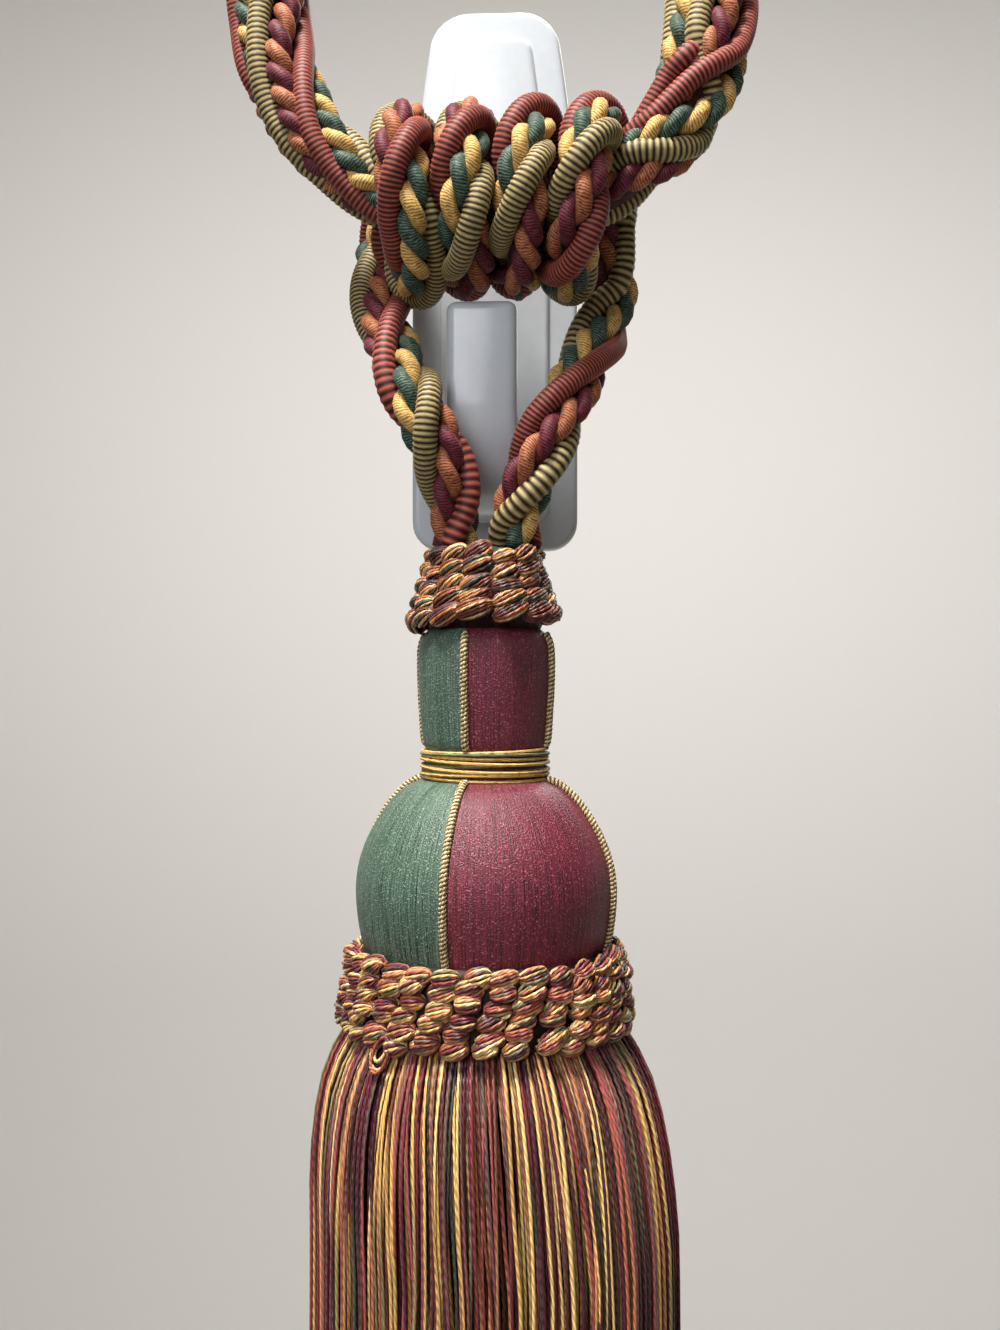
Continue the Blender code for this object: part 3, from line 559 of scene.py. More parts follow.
def cord_tube(name, points, radii, sides, turns, finish):
    """A closed tube with a ring of corners round each point of a line.  Its UV map follows the given turns
    along the tube, and goes once round across it."""
    across, out = free_section(points)
    angles = tau * np.arange(sides) / sides
    wheel = np.cos(angles)[None, :, None] * across[:, None] + np.sin(angles)[None, :, None] * out[:, None]
    verts = (points[:, None] + wheel * radii[:, None, None]).reshape(-1, 3)
    rings = len(points)
    lower = np.arange(rings - 1)[:, None] * sides + np.arange(sides)[None]
    after = np.arange(rings - 1)[:, None] * sides + (np.arange(sides)[None] + 1) % sides
    quads = np.stack([lower, after, after + sides, lower + sides], axis=-1).reshape(-1, 4)
    ends = [list(range(sides))[::-1], list(range((rings - 1) * sides, rings * sides))]
    mesh = bpy.data.meshes.new(name)
    mesh.from_pydata(verts.tolist(), [], quads.tolist() + ends)
    u = np.stack([turns[:-1], turns[:-1], turns[1:], turns[1:]], axis=-1)[:, None].repeat(sides, axis=1)
    side = np.arange(sides)
    v = np.stack([side, side + 1, side + 1, side], axis=-1) / sides
    v = v[None].repeat(rings - 1, axis=0)
    wall = np.stack([u, v], axis=-1).reshape(-1, 2)
    caps = np.concatenate([np.full((sides, 2), (turns[0], 0.5)), np.full((sides, 2), (turns[-1], 0.5))])
    mesh.uv_layers.new(name="UVMap").data.foreach_set("uv", np.concatenate([wall, caps]).ravel())
    mesh.materials.append(finish)
    mesh.shade_smooth()
    tube = bpy.data.objects.new(name, mesh)
    bpy.context.collection.objects.link(tube)
    return tube


def wind_gimp(name, line, radius, ribs, finish):
    """One gimp cord, narrow in each groove of the wrapping and full on each turn.  Ribs are pairs of a share
    of the length and the distance from one turn of the wrapping to the next there."""
    along = distances(line)
    rib = np.interp(along / along[-1], *np.transpose(ribs))
    wound = np.concatenate([[0], np.cumsum(np.diff(along) / rib[1:])])
    rings = np.arange(int(wound[-1] * len(GIMP_RING)))
    places = np.interp(rings / len(GIMP_RING), wound, along)
    points = np.column_stack([np.interp(places, along, column) for column in line.T])
    radii = radius * np.array(GIMP_RING)[rings % len(GIMP_RING)]
    return cord_tube(name, points, radii, GIMP_SIDES, rings / len(GIMP_RING), finish)


def plain_yarn(name, points, radius, finish):
    """One smooth yarn through evenly spaced points, its UV map in yarn steps along it."""
    turns = np.arange(len(points)) * np.linalg.norm(points[1] - points[0]) / YARN_STEP
    return cord_tube(name, points, np.full(len(points), radius), YARN_SIDES, turns, finish)


def ply_yarns(name, line, across, out, finishes):
    """Two yarns twisted into a pair, leaning the other way from the rope's own lay."""
    yarns = []
    for number, finish in enumerate(finishes):
        angle = -tau * (distances(line) / YARN_PAIR_PITCH + number / 2)
        shift = np.cos(angle)[:, None] * across + np.sin(angle)[:, None] * out
        points = even_rows(line + YARN_PAIR_RADIUS * shift, YARN_STEP)
        yarns.append(plain_yarn(f"{name}_{number}", points, YARN_RADIUS, finish))
    return yarns


def join_pieces(name, pieces):
    """Joins the pieces into one object, with the place of everything in its mesh."""
    bpy.ops.object.select_all(action="DESELECT")
    for piece in pieces:
        piece.select_set(True)
    bpy.context.view_layer.objects.active = pieces[0]
    bpy.ops.object.join()
    bpy.ops.object.transform_apply()
    whole = bpy.context.view_layer.objects.active
    whole.name = name
    whole.data.name = name
    bpy.ops.object.select_all(action="DESELECT")
    return whole


loop_rows = smooth_rows([(*line, row) for row, line in enumerate(LOOP_ROPE)])
loop_rows = even_rows(loop_rows, ROPE_STEP)
loop_line = loop_rows[:, :3]
loop_side, loop_out = rope_section(loop_line, (0, -1, 0))


def loop_turns(number):
    """One cord's angle in turns and its share of the rope's radius at every point of the loop rope."""
    first_trade, last_trade = LOOP_TRADE_ROWS
    top = []
    for row in LOOP_TOP_ROWS:
        traded = min(1, max(0, (row - first_trade) / (last_trade - first_trade)))
        moved = LOOP_TRADES.get(number, 0) * traded
        share = 1 - 0.5 * sin(pi * traded) * (number in LOOP_DIVING_CORDS)
        top.append((row, number / LOOP_CORD_COUNT + LOOP_ROPE[row][5] + moved, share))
    # The arms' angles are counted from the front, so whole turns are added to carry on from the top's
    left_turns = round(top[0][1] - LEFT_ARM[number][-1][1])
    right_turns = round(top[-1][1] - RIGHT_ARM[number][0][1])
    left = [(row, turn + left_turns, share) for row, turn, share in LEFT_ARM[number]]
    right = [(row, turn + right_turns, share) for row, turn, share in RIGHT_ARM[number]]
    start = (0, left[0][1] - LOOP_END_TWIST[0], left[0][2])
    end = (len(LOOP_ROPE) - 1, right[-1][1] + LOOP_END_TWIST[1], right[-1][2])
    fine = smooth_rows([start, *left, *top, *right, end])
    row_numbers = loop_rows[:, 6]
    turns = np.interp(row_numbers, fine[:, 0], fine[:, 1])
    return turns, np.interp(row_numbers, fine[:, 0], fine[:, 2])


def lay_loop_cord(number, radius):
    """The line of one cord of the loop rope."""
    turns, share = loop_turns(number)
    reach = (loop_rows[:, 3] - radius) * share
    across = np.cos(tau * turns) * reach
    deep = np.sin(tau * turns) * reach
    return loop_line + across[:, None] * loop_side + deep[:, None] * loop_out


# A gimp cord's radius, its ribs and its finish, or the finishes of the two yarns of a pair
LOOP_KINDS = {
    0: (LOOP_OLIVE_RADIUS, OLIVE_RIBS, olive_gimp),
    1: (burgundy_yarn, rust_yarn),
    2: (LOOP_RUST_RADIUS, RUST_RIBS, rust_gimp),
    3: (gold_yarn, green_yarn),
}
pieces = []
for number in range(LOOP_CORD_COUNT):
    name = f"loop_cord_{number}"
    kind = LOOP_KINDS[number % 4]
    if number % 2 == 0:
        radius, ribs, finish = kind
        pieces.append(wind_gimp(name, lay_loop_cord(number, radius), radius, ribs, finish))
    else:
        line = lay_loop_cord(number, LOOP_YARN_DEPTH)
        across, out = free_section(line)
        pieces += ply_yarns(name, line, across, out, kind)
pieces.append(plain_yarn("loop_core", even_rows(loop_line, LOOP_CORE_STEP), LOOP_CORE_RADIUS, core_yarn))
loop_rope = join_pieces("loop_rope_cords", pieces)
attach(loop_rope, "root")
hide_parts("loop_rope")


# ---------------------------------------------------------------------------------------------- Hanging rope
# The tassel's own rope: one cord of each kind laid up together.  It comes up out of the upper ruff on the
# left, is wound four times round the loop rope on the hook's finger, and goes back down into the ruff.

# Rows of x, y, height, half-width, half-depth and twist in turns
LEFT_LEG = (
    (-0.0060, -0.0428, -0.0676, 0.0060, 0.0064, 0.22),
    (-0.0062, -0.0434, -0.0615, 0.0063, 0.0065, 0.34),
    (-0.0067, -0.0452, -0.0560, 0.0067, 0.0067, 0.46),
    (-0.0084, -0.0477, -0.0492, 0.0070, 0.0070, 0.60),
    (-0.0114, -0.0492, -0.0425, 0.0070, 0.0070, 0.76),
    (-0.0148, -0.0476, -0.0355, 0.0070, 0.0070, 0.95),
    (-0.0182, -0.0428, -0.0285, 0.0070, 0.0070, 1.13),
    (-0.0213, -0.0363, -0.0205, 0.0070, 0.0070, 1.30),
    (-0.0243, -0.0284, -0.0118, 0.0070, 0.0070, 1.50),
    (-0.0261, -0.0196, -0.0030, 0.0070, 0.0070, 1.70),
    (-0.0261, -0.0132, 0.0052, 0.0068, 0.0068, 1.88),
    (-0.0246, -0.0112, 0.0138, 0.0062, 0.0062, 2.07),
    (-0.0230, -0.0136, 0.0212, 0.0055, 0.0055, 2.24),
    (-0.0221, -0.0194, 0.0233, 0.0052, 0.0050, 2.38),
    (-0.0217, -0.0241, 0.0180, 0.0052, 0.0052, 2.52),
    (-0.0217, -0.0250, 0.0120, 0.0052, 0.0062, 2.66),
)
RIGHT_LEG = (
    (0.0279, -0.0247, 0.0015, 0.0058, 0.0074, 11.08),
    (0.0282, -0.0232, -0.0045, 0.0065, 0.0072, 11.17),
    (0.0278, -0.0226, -0.0100, 0.0070, 0.0070, 11.26),
    (0.0261, -0.0250, -0.0160, 0.0070, 0.0070, 11.36),
    (0.0236, -0.0310, -0.0228, 0.0070, 0.0070, 11.50),
    (0.0207, -0.0378, -0.0300, 0.0070, 0.0070, 11.63),
    (0.0174, -0.0430, -0.0372, 0.0070, 0.0070, 11.78),
    (0.0141, -0.0454, -0.0440, 0.0070, 0.0070, 11.95),
    (0.0111, -0.0456, -0.0510, 0.0070, 0.0070, 12.10),
    (0.0087, -0.0445, -0.0565, 0.0068, 0.0069, 12.22),
    (0.0071, -0.0431, -0.0615, 0.0064, 0.0066, 12.34),
    (0.0067, -0.0426, -0.0676, 0.0060, 0.0064, 12.50),
)
WINDING_Y = -0.0400
WINDING_HEIGHT = 0.0070
WINDING_RADIUS = 0.0150
WINDING_PITCH = 0.0123
WINDING_FIRST_FRONT_X = -0.0159
WINDING_TURNS = 4
WINDING_STEPS = 12
WINDING_WAVE = 0.0049  # a turn's underside lies this far right of an even spiral, and its top this far left
WINDING_WAVE_LOSS = 0.0015  # and this much less with every turn
WINDING_OUTERMOST_TWIST = 0.75  # a cord lies outermost at this angle, in turns
WINDING_TWIST_PER_TURN = 360 / 127.5
WINDING_FIRST_OLIVE = 124 / 360  # share of the first turn after which the olive gimp faces out
WINDING_HELD_TWIST = 0.20  # the rope untwists by this much over the top of its first turn
WINDING_HELD_PLACE = (0.80, 0.30)  # in turns: where, and how far to each side
WINDING_LOW_TWIST = (0.40, 0.16, 0.13, 0.05, 0)  # and it is twisted this much further under each turn
WINDING_PUSH = (0, 0.28, 0.40, 0, 0)  # the rust gimp is pushed this far on round the rope under each turn
WINDING_PUSH_PLACE = (0.27, 0.17)
PUSHED_CORDS = {1: 0.45, 2: 1}  # the burgundy and rust yarns take this share of the push, the rust gimp all
RUST_GIMP = 2
RUST_SINKS = 1.2  # and it sinks in by this share of its distance from the rope's middle, per turn of push
WINDING_SHINGLE = 0.15  # slope with which the left side of each turn lies on the right side of the one before
WINDING_HALF_SIDE = 0.0068
WINDING_HALF_OUT = 0.0075
FINGER_REACH = 0.0136  # turns nearer than this to the finger's middle are pressed in by its tip
FINGER_DENT = 0.0012
FINGER_EDGE = 0.002
LEFT_LEG_TURNS = 3  # whole turns of twist in the left leg, so that its cords run on into the winding
HANGING_OLIVE_RADIUS = 0.0027
HANGING_RUST_RADIUS = 0.0027
# The wrapping opens where a cord is drawn straight: share of the rope's length, distance between its turns
HANGING_OLIVE_RIBS = (
    (0.0, 0.00108),
    (0.16, 0.00104),
    (0.20, 0.00098),
    (0.78, 0.00098),
    (0.84, 0.00150),
    (1.0, 0.00168),
)
HANGING_RUST_RIBS = ((0.0, 0.00185), (0.06, 0.00160), (0.12, 0.00098), (0.20, 0.00090), (1.0, 0.00092))
HANGING_YARN_DEPTH = 0.0039
HANGING_CORE_RADIUS = 0.0024
HANGING_CORE_STEP = 0.003


def hump(away, reach):
    """A smooth rise to 1 in the middle from 0 at a distance of reach."""
    return cos(min(1, abs(away) / reach) * pi / 2) ** 2


def winding_rows():
    """The rope's rows round the loop rope: down the back, under, up the front and over.  After its twist a
    row also has the slope of the shingle and the push."""
    rows = []
    for step in range(WINDING_TURNS * WINDING_STEPS + 1):
        turn = step / WINDING_STEPS
        angle = tau * turn
        wave = WINDING_WAVE - WINDING_WAVE_LOSS * turn
        x = WINDING_FIRST_FRONT_X + WINDING_PITCH * (turn - 0.5) + wave * sin(angle)
        pressed = min(1, max(0, (FINGER_REACH - abs(x - FINGER_PLACE[0])) / FINGER_EDGE))
        dent = FINGER_DENT / 2 * pressed * max(0, sin(angle)) ** 6
        radius = WINDING_RADIUS - dent
        y = WINDING_Y + radius * cos(angle)
        height = WINDING_HEIGHT - radius * sin(angle)
        held = WINDING_HELD_TWIST * hump(turn - WINDING_HELD_PLACE[0], WINDING_HELD_PLACE[1])
        low = WINDING_LOW_TWIST[int(turn)] * max(0, sin(angle)) ** 2
        laid = (turn - WINDING_FIRST_OLIVE) * WINDING_TWIST_PER_TURN
        twist = WINDING_OUTERMOST_TWIST + laid - held + low
        push = WINDING_PUSH[int(turn)] * hump(turn % 1 - WINDING_PUSH_PLACE[0], WINDING_PUSH_PLACE[1])
        half_out = WINDING_HALF_OUT - dent
        rows.append((x, y, height, WINDING_HALF_SIDE, half_out, twist, WINDING_SHINGLE, push))
    return rows


hanging_rows = [(*row, 0, 0) for row in LEFT_LEG]
hanging_rows += [(*row[:5], row[5] + LEFT_LEG_TURNS, *row[6:]) for row in winding_rows()]
hanging_rows += [(*row[:5], row[5] + LEFT_LEG_TURNS, 0, 0) for row in RIGHT_LEG]
hanging_rows = even_rows(smooth_rows(hanging_rows), ROPE_STEP)
hanging_line = hanging_rows[:, :3]
hanging_side, hanging_out = rope_section(hanging_line, (1, 0, 0))


def lay_hanging_cord(number, radius):
    """The line of one cord of the hanging rope, and the way out of the rope along it."""
    half_width, half_depth, twist, slope, push = hanging_rows[:, 3:8].T
    pushed = push * PUSHED_CORDS.get(number, 0)
    angle = tau * (number / 4 + twist + pushed)
    reach = 1 - RUST_SINKS * pushed * (number == RUST_GIMP)
    across = np.cos(angle) * (half_width - radius) * reach
    deep = np.sin(angle) * (half_depth - radius) * reach - slope * across
    shift = across[:, None] * hanging_side + deep[:, None] * hanging_out
    return hanging_line + shift, unit(shift)


pieces = []
for number, radius, ribs, finish in (
    (0, HANGING_OLIVE_RADIUS, HANGING_OLIVE_RIBS, olive_gimp),
    (RUST_GIMP, HANGING_RUST_RADIUS, HANGING_RUST_RIBS, rust_gimp),
):
    line, _ = lay_hanging_cord(number, radius)
    pieces.append(wind_gimp(f"hanging_cord_{number}", line, radius, ribs, finish))
for number, finishes in ((1, (burgundy_yarn, rust_yarn)), (3, (gold_yarn, green_yarn))):
    line, away = lay_hanging_cord(number, HANGING_YARN_DEPTH)
    along = unit(np.gradient(line, axis=0))
    away = unit(away - along * np.sum(away * along, axis=1)[:, None])
    pieces += ply_yarns(f"hanging_cord_{number}", line, away, np.cross(along, away), finishes)
core = even_rows(hanging_line, HANGING_CORE_STEP)
pieces.append(plain_yarn("hanging_core", core, HANGING_CORE_RADIUS, core_yarn))
hanging_rope = join_pieces("hanging_rope_cords", pieces)
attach(hanging_rope, "root")
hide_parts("hanging_rope")


# ---------------------------------------------------------------------------------------------- Head
# A turned wooden mould, a neck over a bulb, covered from top to bottom with fine shiny rayon thread laid
# side by side.  It has four panels of thread, green and burgundy in turn, that meet at four seams.

TASSEL_X = 0.0003
TASSEL_Y = -0.0420
FIRST_SEAM = radians(-13.5)  # angle round the tassel from its front towards +X; the others follow by quarters
# Rows of radius and height
HEAD_PROFILE = (
    (0.0080, -0.0846),
    (0.0113, -0.0852),
    (0.0132, -0.0868),
    (0.0142, -0.0895),
    (0.0143, -0.0960),
    (0.0139, -0.1035),
    (0.0133, -0.1098),
    (0.0128, -0.1112),
    (0.0128, -0.1168),
    (0.0143, -0.1180),
    (0.0172, -0.1194),
    (0.0202, -0.1222),
    (0.0230, -0.1260),
    (0.0254, -0.1304),
    (0.0270, -0.1350),
    (0.0277, -0.1400),
    (0.0275, -0.1452),
    (0.0267, -0.1505),
    (0.0249, -0.1570),
    (0.0213, -0.1624),
    (0.0170, -0.1650),
)
HEAD_STEPS = 4  # rings drawn for each row of the profile
HEAD_SIDES = 192


def turn_profile(name, rows, sides, finish):
    """A closed turned shape round the tassel's axis, drawn down from its top row by extruding and scaling."""
    bpy.ops.object.select_all(action="DESELECT")
    bpy.ops.mesh.primitive_circle_add(
        vertices=sides, radius=rows[0][0], fill_type="NGON", location=(TASSEL_X, TASSEL_Y, rows[0][1])
    )
    shape = bpy.context.object
    shape.rotation_euler.z = FIRST_SEAM
    bpy.ops.object.transform_apply()
    bpy.ops.object.mode_set(mode="EDIT")
    bpy.ops.mesh.select_mode(type="FACE")
    bpy.ops.mesh.select_all(action="SELECT")
    for (radius, height), (next_radius, next_height) in zip(rows, rows[1:]):
        bpy.ops.mesh.extrude_region_move(TRANSFORM_OT_translate={"value": (0, 0, next_height - height)})
        share = next_radius / radius
        bpy.ops.transform.resize(value=(share, share, 1), center_override=(TASSEL_X, TASSEL_Y, next_height))
    bpy.ops.mesh.select_all(action="SELECT")
    bpy.ops.mesh.normals_make_consistent(inside=False)
    bpy.ops.object.mode_set(mode="OBJECT")
    shape.name = shape.data.name = name
    shape.data.materials.append(finish)
    shape.data.shade_smooth()
    bpy.ops.object.select_all(action="DESELECT")
    return shape


def wound_thread_finish(name, thread, thread_light, thread_dark, painted_glint_colour):
    """Rayon thread laid up and down the mould: satin, with uneven darker lines where threads part and small
    sparks where single filaments catch the light, painted as light specks in the colour over a fine relief.
    The filaments, 0.1 mm apart, are drawn 0.35 mm apart."""
    finish, shader = new_finish(name)
    place = add_node(finish, "ShaderNodeTexCoord")
    # Turned so that the jump of the angle from half a turn to minus half a turn lies under the back seam
    round_axis = add_node(
        finish,
        "ShaderNodeMapping",
        {
            "vector_type": "TEXTURE",
            "Location": (TASSEL_X, TASSEL_Y, 0),
            "Rotation": (0, 0, FIRST_SEAM - pi / 2),
        },
        {"Vector": place.outputs["Object"]},
    )
    split = add_node(finish, "ShaderNodeSeparateXYZ", links={"Vector": round_axis.outputs["Vector"]})
    angle = add_node(
        finish, "ShaderNodeMath", {"operation": "ARCTAN2"}, {0: split.outputs["Y"], 1: split.outputs["X"]}
    )
    unrolled = add_node(
        finish, "ShaderNodeCombineXYZ", links={"X": angle.outputs[0], "Y": split.outputs["Z"]}
    )
    fine = add_node(finish, "ShaderNodeMapping", {"Scale": (160, 90, 1)}, {"Vector": unrolled.outputs[0]})
    filaments = add_node(
        finish, "ShaderNodeTexNoise", {"Scale": 1.0, "Detail": 3.0}, {"Vector": fine.outputs[0]}
    )
    broad = add_node(finish, "ShaderNodeMapping", {"Scale": (48, 22, 1)}, {"Vector": unrolled.outputs[0]})
    parting = add_node(
        finish, "ShaderNodeTexNoise", {"Scale": 1.0, "Detail": 2.0}, {"Vector": broad.outputs[0]}
    )
    both = add_node(
        finish,
        "ShaderNodeMix",
        {"data_type": "FLOAT", 0: 0.35},
        {2: filaments.outputs["Fac"], 3: parting.outputs["Fac"]},
    )
    tone = add_node(finish, "ShaderNodeValToRGB", links={"Fac": both.outputs[0]})
    colour_stops(tone, ((0.39, thread_dark), (0.47, thread), (0.60, thread_light)))
    # Painted glints: where this fine noise is high the colour turns to a light speck; the same noise raises a
    # fine relief
    sparks = add_node(
        finish, "ShaderNodeTexNoise", {"Scale": 3000, "Detail": 1.0}, {"Vector": place.outputs["Object"]}
    )
    painted_glint_mask = add_node(
        finish, "ShaderNodeMapRange", {"From Min": 0.60, "From Max": 0.72}, {"Value": sparks.outputs["Fac"]}
    )
    painted_glints = add_node(
        finish,
        "ShaderNodeMix",
        {"data_type": "RGBA", 7: linear(painted_glint_colour)},
        {0: painted_glint_mask.outputs["Result"], 6: tone.outputs["Color"]},
    )
    relief = add_node(
        finish, "ShaderNodeBump", {"Strength": 0.7, "Distance": 0.00025}, {"Height": both.outputs[0]}
    )
    spark_relief = add_node(
        finish,
        "ShaderNodeBump",
        {"Strength": 1.0, "Distance": 0.00018},
        {"Height": sparks.outputs["Fac"], "Normal": relief.outputs["Normal"]},
    )
    finish.node_tree.links.new(painted_glints.outputs[2], shader.inputs["Base Color"])
    finish.node_tree.links.new(spark_relief.outputs["Normal"], shader.inputs["Normal"])
    shader.inputs["Roughness"].default_value = 0.45
    shader.inputs["Sheen Weight"].default_value = 0.08
    shader.inputs["Sheen Roughness"].default_value = 0.3
    shader.inputs["Sheen Tint"].default_value = linear(thread_light)
    return finish


# Thread, its lighter and darker tones, and the colour of the painted glints
green_thread = wound_thread_finish("green_wound_rayon", "#384E3F", "#5B7464", "#1B2A22", "#88A593")
burgundy_thread = wound_thread_finish("burgundy_wound_rayon", "#541424", "#772537", "#2B0A13", "#AE5C72")
head_rows = smooth_rows(HEAD_PROFILE, HEAD_STEPS)
head = turn_profile("wound_head", head_rows.tolist(), HEAD_SIDES, burgundy_thread)
head.data.materials.append(green_thread)
for face in head.data.polygons:
    middle = face.center
    turn = (np.arctan2(middle.x - TASSEL_X, TASSEL_Y - middle.y) - FIRST_SEAM) / tau
    face.material_index = int((turn % 1) * 4) % 2
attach(head, "root")
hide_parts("head")


# ---------------------------------------------------------------------------------------------- Seam cords
# A fine cord covers each of the four seams between the panels.  It is laid up from two cream and two brown
# strands, runs down under the neck binding and ends behind the lower ruff.

SEAM_FIRST_ROW, SEAM_LAST_ROW = 2, 19  # rows of HEAD_PROFILE
SEAM_RISE = 0.0004  # the cord's middle lies this far out of the head, and sinks in under the binding
SEAM_SINK = 0.0013
SEAM_BOUND_ROWS = (7, 8)  # the rows under the binding
SEAM_STRAND_SIDES = 6
SEAM_FILAMENT_STEPS = 4  # a strand's own filaments make one turn in four steps
SEAM_STRAND_RADIUS = 0.00044
SEAM_STRAND_PLACE = 0.00048
SEAM_PITCH = 0.00176
SEAM_STEP = 0.00030
# Twisted mercerised cotton: the eye gets short slanted cream ribs with brown between them
cream_strand = yarn_finish("cream_seam_strand", "#C9B98C", "#E6DAB4", "#94805A")
brown_strand = yarn_finish("brown_seam_strand", "#5E4228", "#7C5C3A", "#3A2616")


def seam_line(turn):
    """The line of a seam cord down the head at one angle round it."""
    rows = []
    for row in range(SEAM_FIRST_ROW, SEAM_LAST_ROW):
        before, (radius, height), after = HEAD_PROFILE[row - 1 : row + 2]
        along = np.array((after[0] - before[0], after[1] - before[1]))
        along /= np.linalg.norm(along)
        rise = -SEAM_SINK if row in SEAM_BOUND_ROWS else SEAM_RISE
        radius, height = radius - along[1] * rise, height + along[0] * rise
        rows.append((TASSEL_X + radius * sin(turn), TASSEL_Y - radius * cos(turn), height))
    return even_rows(smooth_rows(rows), SEAM_STEP)


for number in range(4):
    line = seam_line(FIRST_SEAM + tau * number / 4)
    across, out = free_section(line)
    strands = []
    for strand, finish in enumerate((cream_strand, brown_strand, cream_strand, brown_strand)):
        turns = tau * (np.arange(len(line)) * SEAM_STEP / SEAM_PITCH + strand / 4)
        points = line + SEAM_STRAND_PLACE * (np.cos(turns)[:, None] * across + np.sin(turns)[:, None] * out)
        radii = np.full(len(points), SEAM_STRAND_RADIUS)
        along = np.arange(len(points)) / SEAM_FILAMENT_STEPS
        name = f"seam_strand_{number}_{strand}"
        strands.append(cord_tube(name, points, radii, SEAM_STRAND_SIDES, along, finish))
    seam_cord = join_pieces(f"seam_cord_strands_{number + 1}", strands)
    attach(seam_cord, "root")
    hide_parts(f"seam_cord_{number + 1}")


# ---------------------------------------------------------------------------------------------- Neck binding
# Fine gold and grey-green rayon thread wound tightly round the neck by hand, nine turns that cross and ride
# on each other.  They tie down the wound thread and the seam cords.

BINDING_TOP = -0.1113
BINDING_PITCH = 0.00072
BINDING_RADIUS = 0.0134
BINDING_THREAD_RADIUS = 0.00036
# Each turn's lean to the front and to the side in degrees, its shift in turns, and how far it stands out
BINDING_UNEVEN = (
    (0.6, -1.2, 0.0, 0.0),
    (-0.9, 1.4, 0.2, 0.00025),
    (1.1, -0.6, -0.1, 0.0),
    (-0.4, -1.9, 0.1, 0.0003),
    (1.3, 1.0, 0.0, 0.0),
    (-1.2, 2.1, 0.2, 0.0003),
    (0.5, -0.8, -0.2, 0.0),
    (-0.8, 0.9, 0.1, 0.0002),
    (1.0, -1.5, 0.0, 0.0),
)
GREY_TURNS = (1, 4, 6)
# Twisted rayon: the eye gets a bright line on each turn and dark lines between turns
gold_thread = yarn_finish("gold_binding_thread", "#C2974A", "#E6C67C", "#7A5822")
grey_thread = yarn_finish("grey_green_binding_thread", "#6B6A4C", "#8E8C68", "#3A3A28")

bpy.ops.mesh.primitive_torus_add(
    major_segments=96, minor_segments=8, major_radius=BINDING_RADIUS, minor_radius=BINDING_THREAD_RADIUS
)
first_turn = bpy.context.object
first_turn.data.materials.append(gold_thread)
first_turn.data.shade_smooth()
binding_turns = []
for number, (lean, tilt, shift, proud) in enumerate(BINDING_UNEVEN):
    turn = first_turn.copy()
    turn.data = first_turn.data.copy()
    turn.data.materials[0] = grey_thread if number in GREY_TURNS else gold_thread
    turn.scale = (1 + proud / BINDING_RADIUS, 1 + proud / BINDING_RADIUS, 1)
    turn.location = (TASSEL_X, TASSEL_Y, BINDING_TOP - BINDING_PITCH * (number + shift))
    turn.rotation_euler = (radians(lean), radians(tilt), number)
    bpy.context.collection.objects.link(turn)
    binding_turns.append(turn)
bpy.data.objects.remove(first_turn)
binding = join_pieces("neck_binding_turns", binding_turns)
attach(binding, "root")
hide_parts("neck_binding")


# ---------------------------------------------------------------------------------------------- Upper ruff
# A collar of knotted loops where the rope goes into the head.  Each knot is a lemon-shaped bundle of
# space-dyed rayon yarn tied at both ends; thirteen columns of knots, five high, flare out over the head.

UPPER_COLUMNS = 13
UPPER_FIRST_COLUMN = radians(-3.5)
UPPER_ROWS = (  # height, radius of the knots' middle, half-width, half-height
    (-0.0697, 0.0107, 0.0028, 0.0017),
    (-0.0728, 0.0113, 0.0030, 0.0018),
    (-0.0759, 0.0122, 0.0033, 0.0018),
    (-0.0789, 0.0134, 0.0036, 0.0018),
    (-0.0817, 0.0143, 0.0038, 0.0017),
)
UPPER_DROP = 0.0015  # the bottom knots on the left hang lower than the others
UPPER_STAGGER = 0.0009  # every other column hangs this much lower
UPPER_LEAN = (4, 26)  # degrees by which the knots rise to the right
UPPER_CORE_TOP = (0.0040, -0.0690)  # radius and height
UPPER_CORE_FOOT = ((0.0130, -0.0832), (0.0118, -0.0858))
CORE_INSIDE = 0.0008  # a ruff's core, in the painted shade colour, lies this far inside the middle of its knots
UPPER_CORE_SIDES = 48
KNOT_BULGE = 0.0024
KNOT_YARN_RADIUS = 0.00038
KNOT_YARNS = 8
KNOT_YARN_TWIST = 0.0013  # a yarn makes one turn in this length
KNOT_FAN = 86  # degrees from the knot's front to its outermost yarns
KNOT_TWIST = (30, 85)  # degrees by which the whole bundle is twisted
KNOT_RINGS = 9
KNOT_SIDES = 5
KNOT_TIED = 0.06  # the yarns run past the two ties by this share of the knot's length
KNOT_FILLER = 0.0013  # radius of the bundle inside a knot, coloured dark brown as painted shade
KNOT_FILLER_SIDES = 6


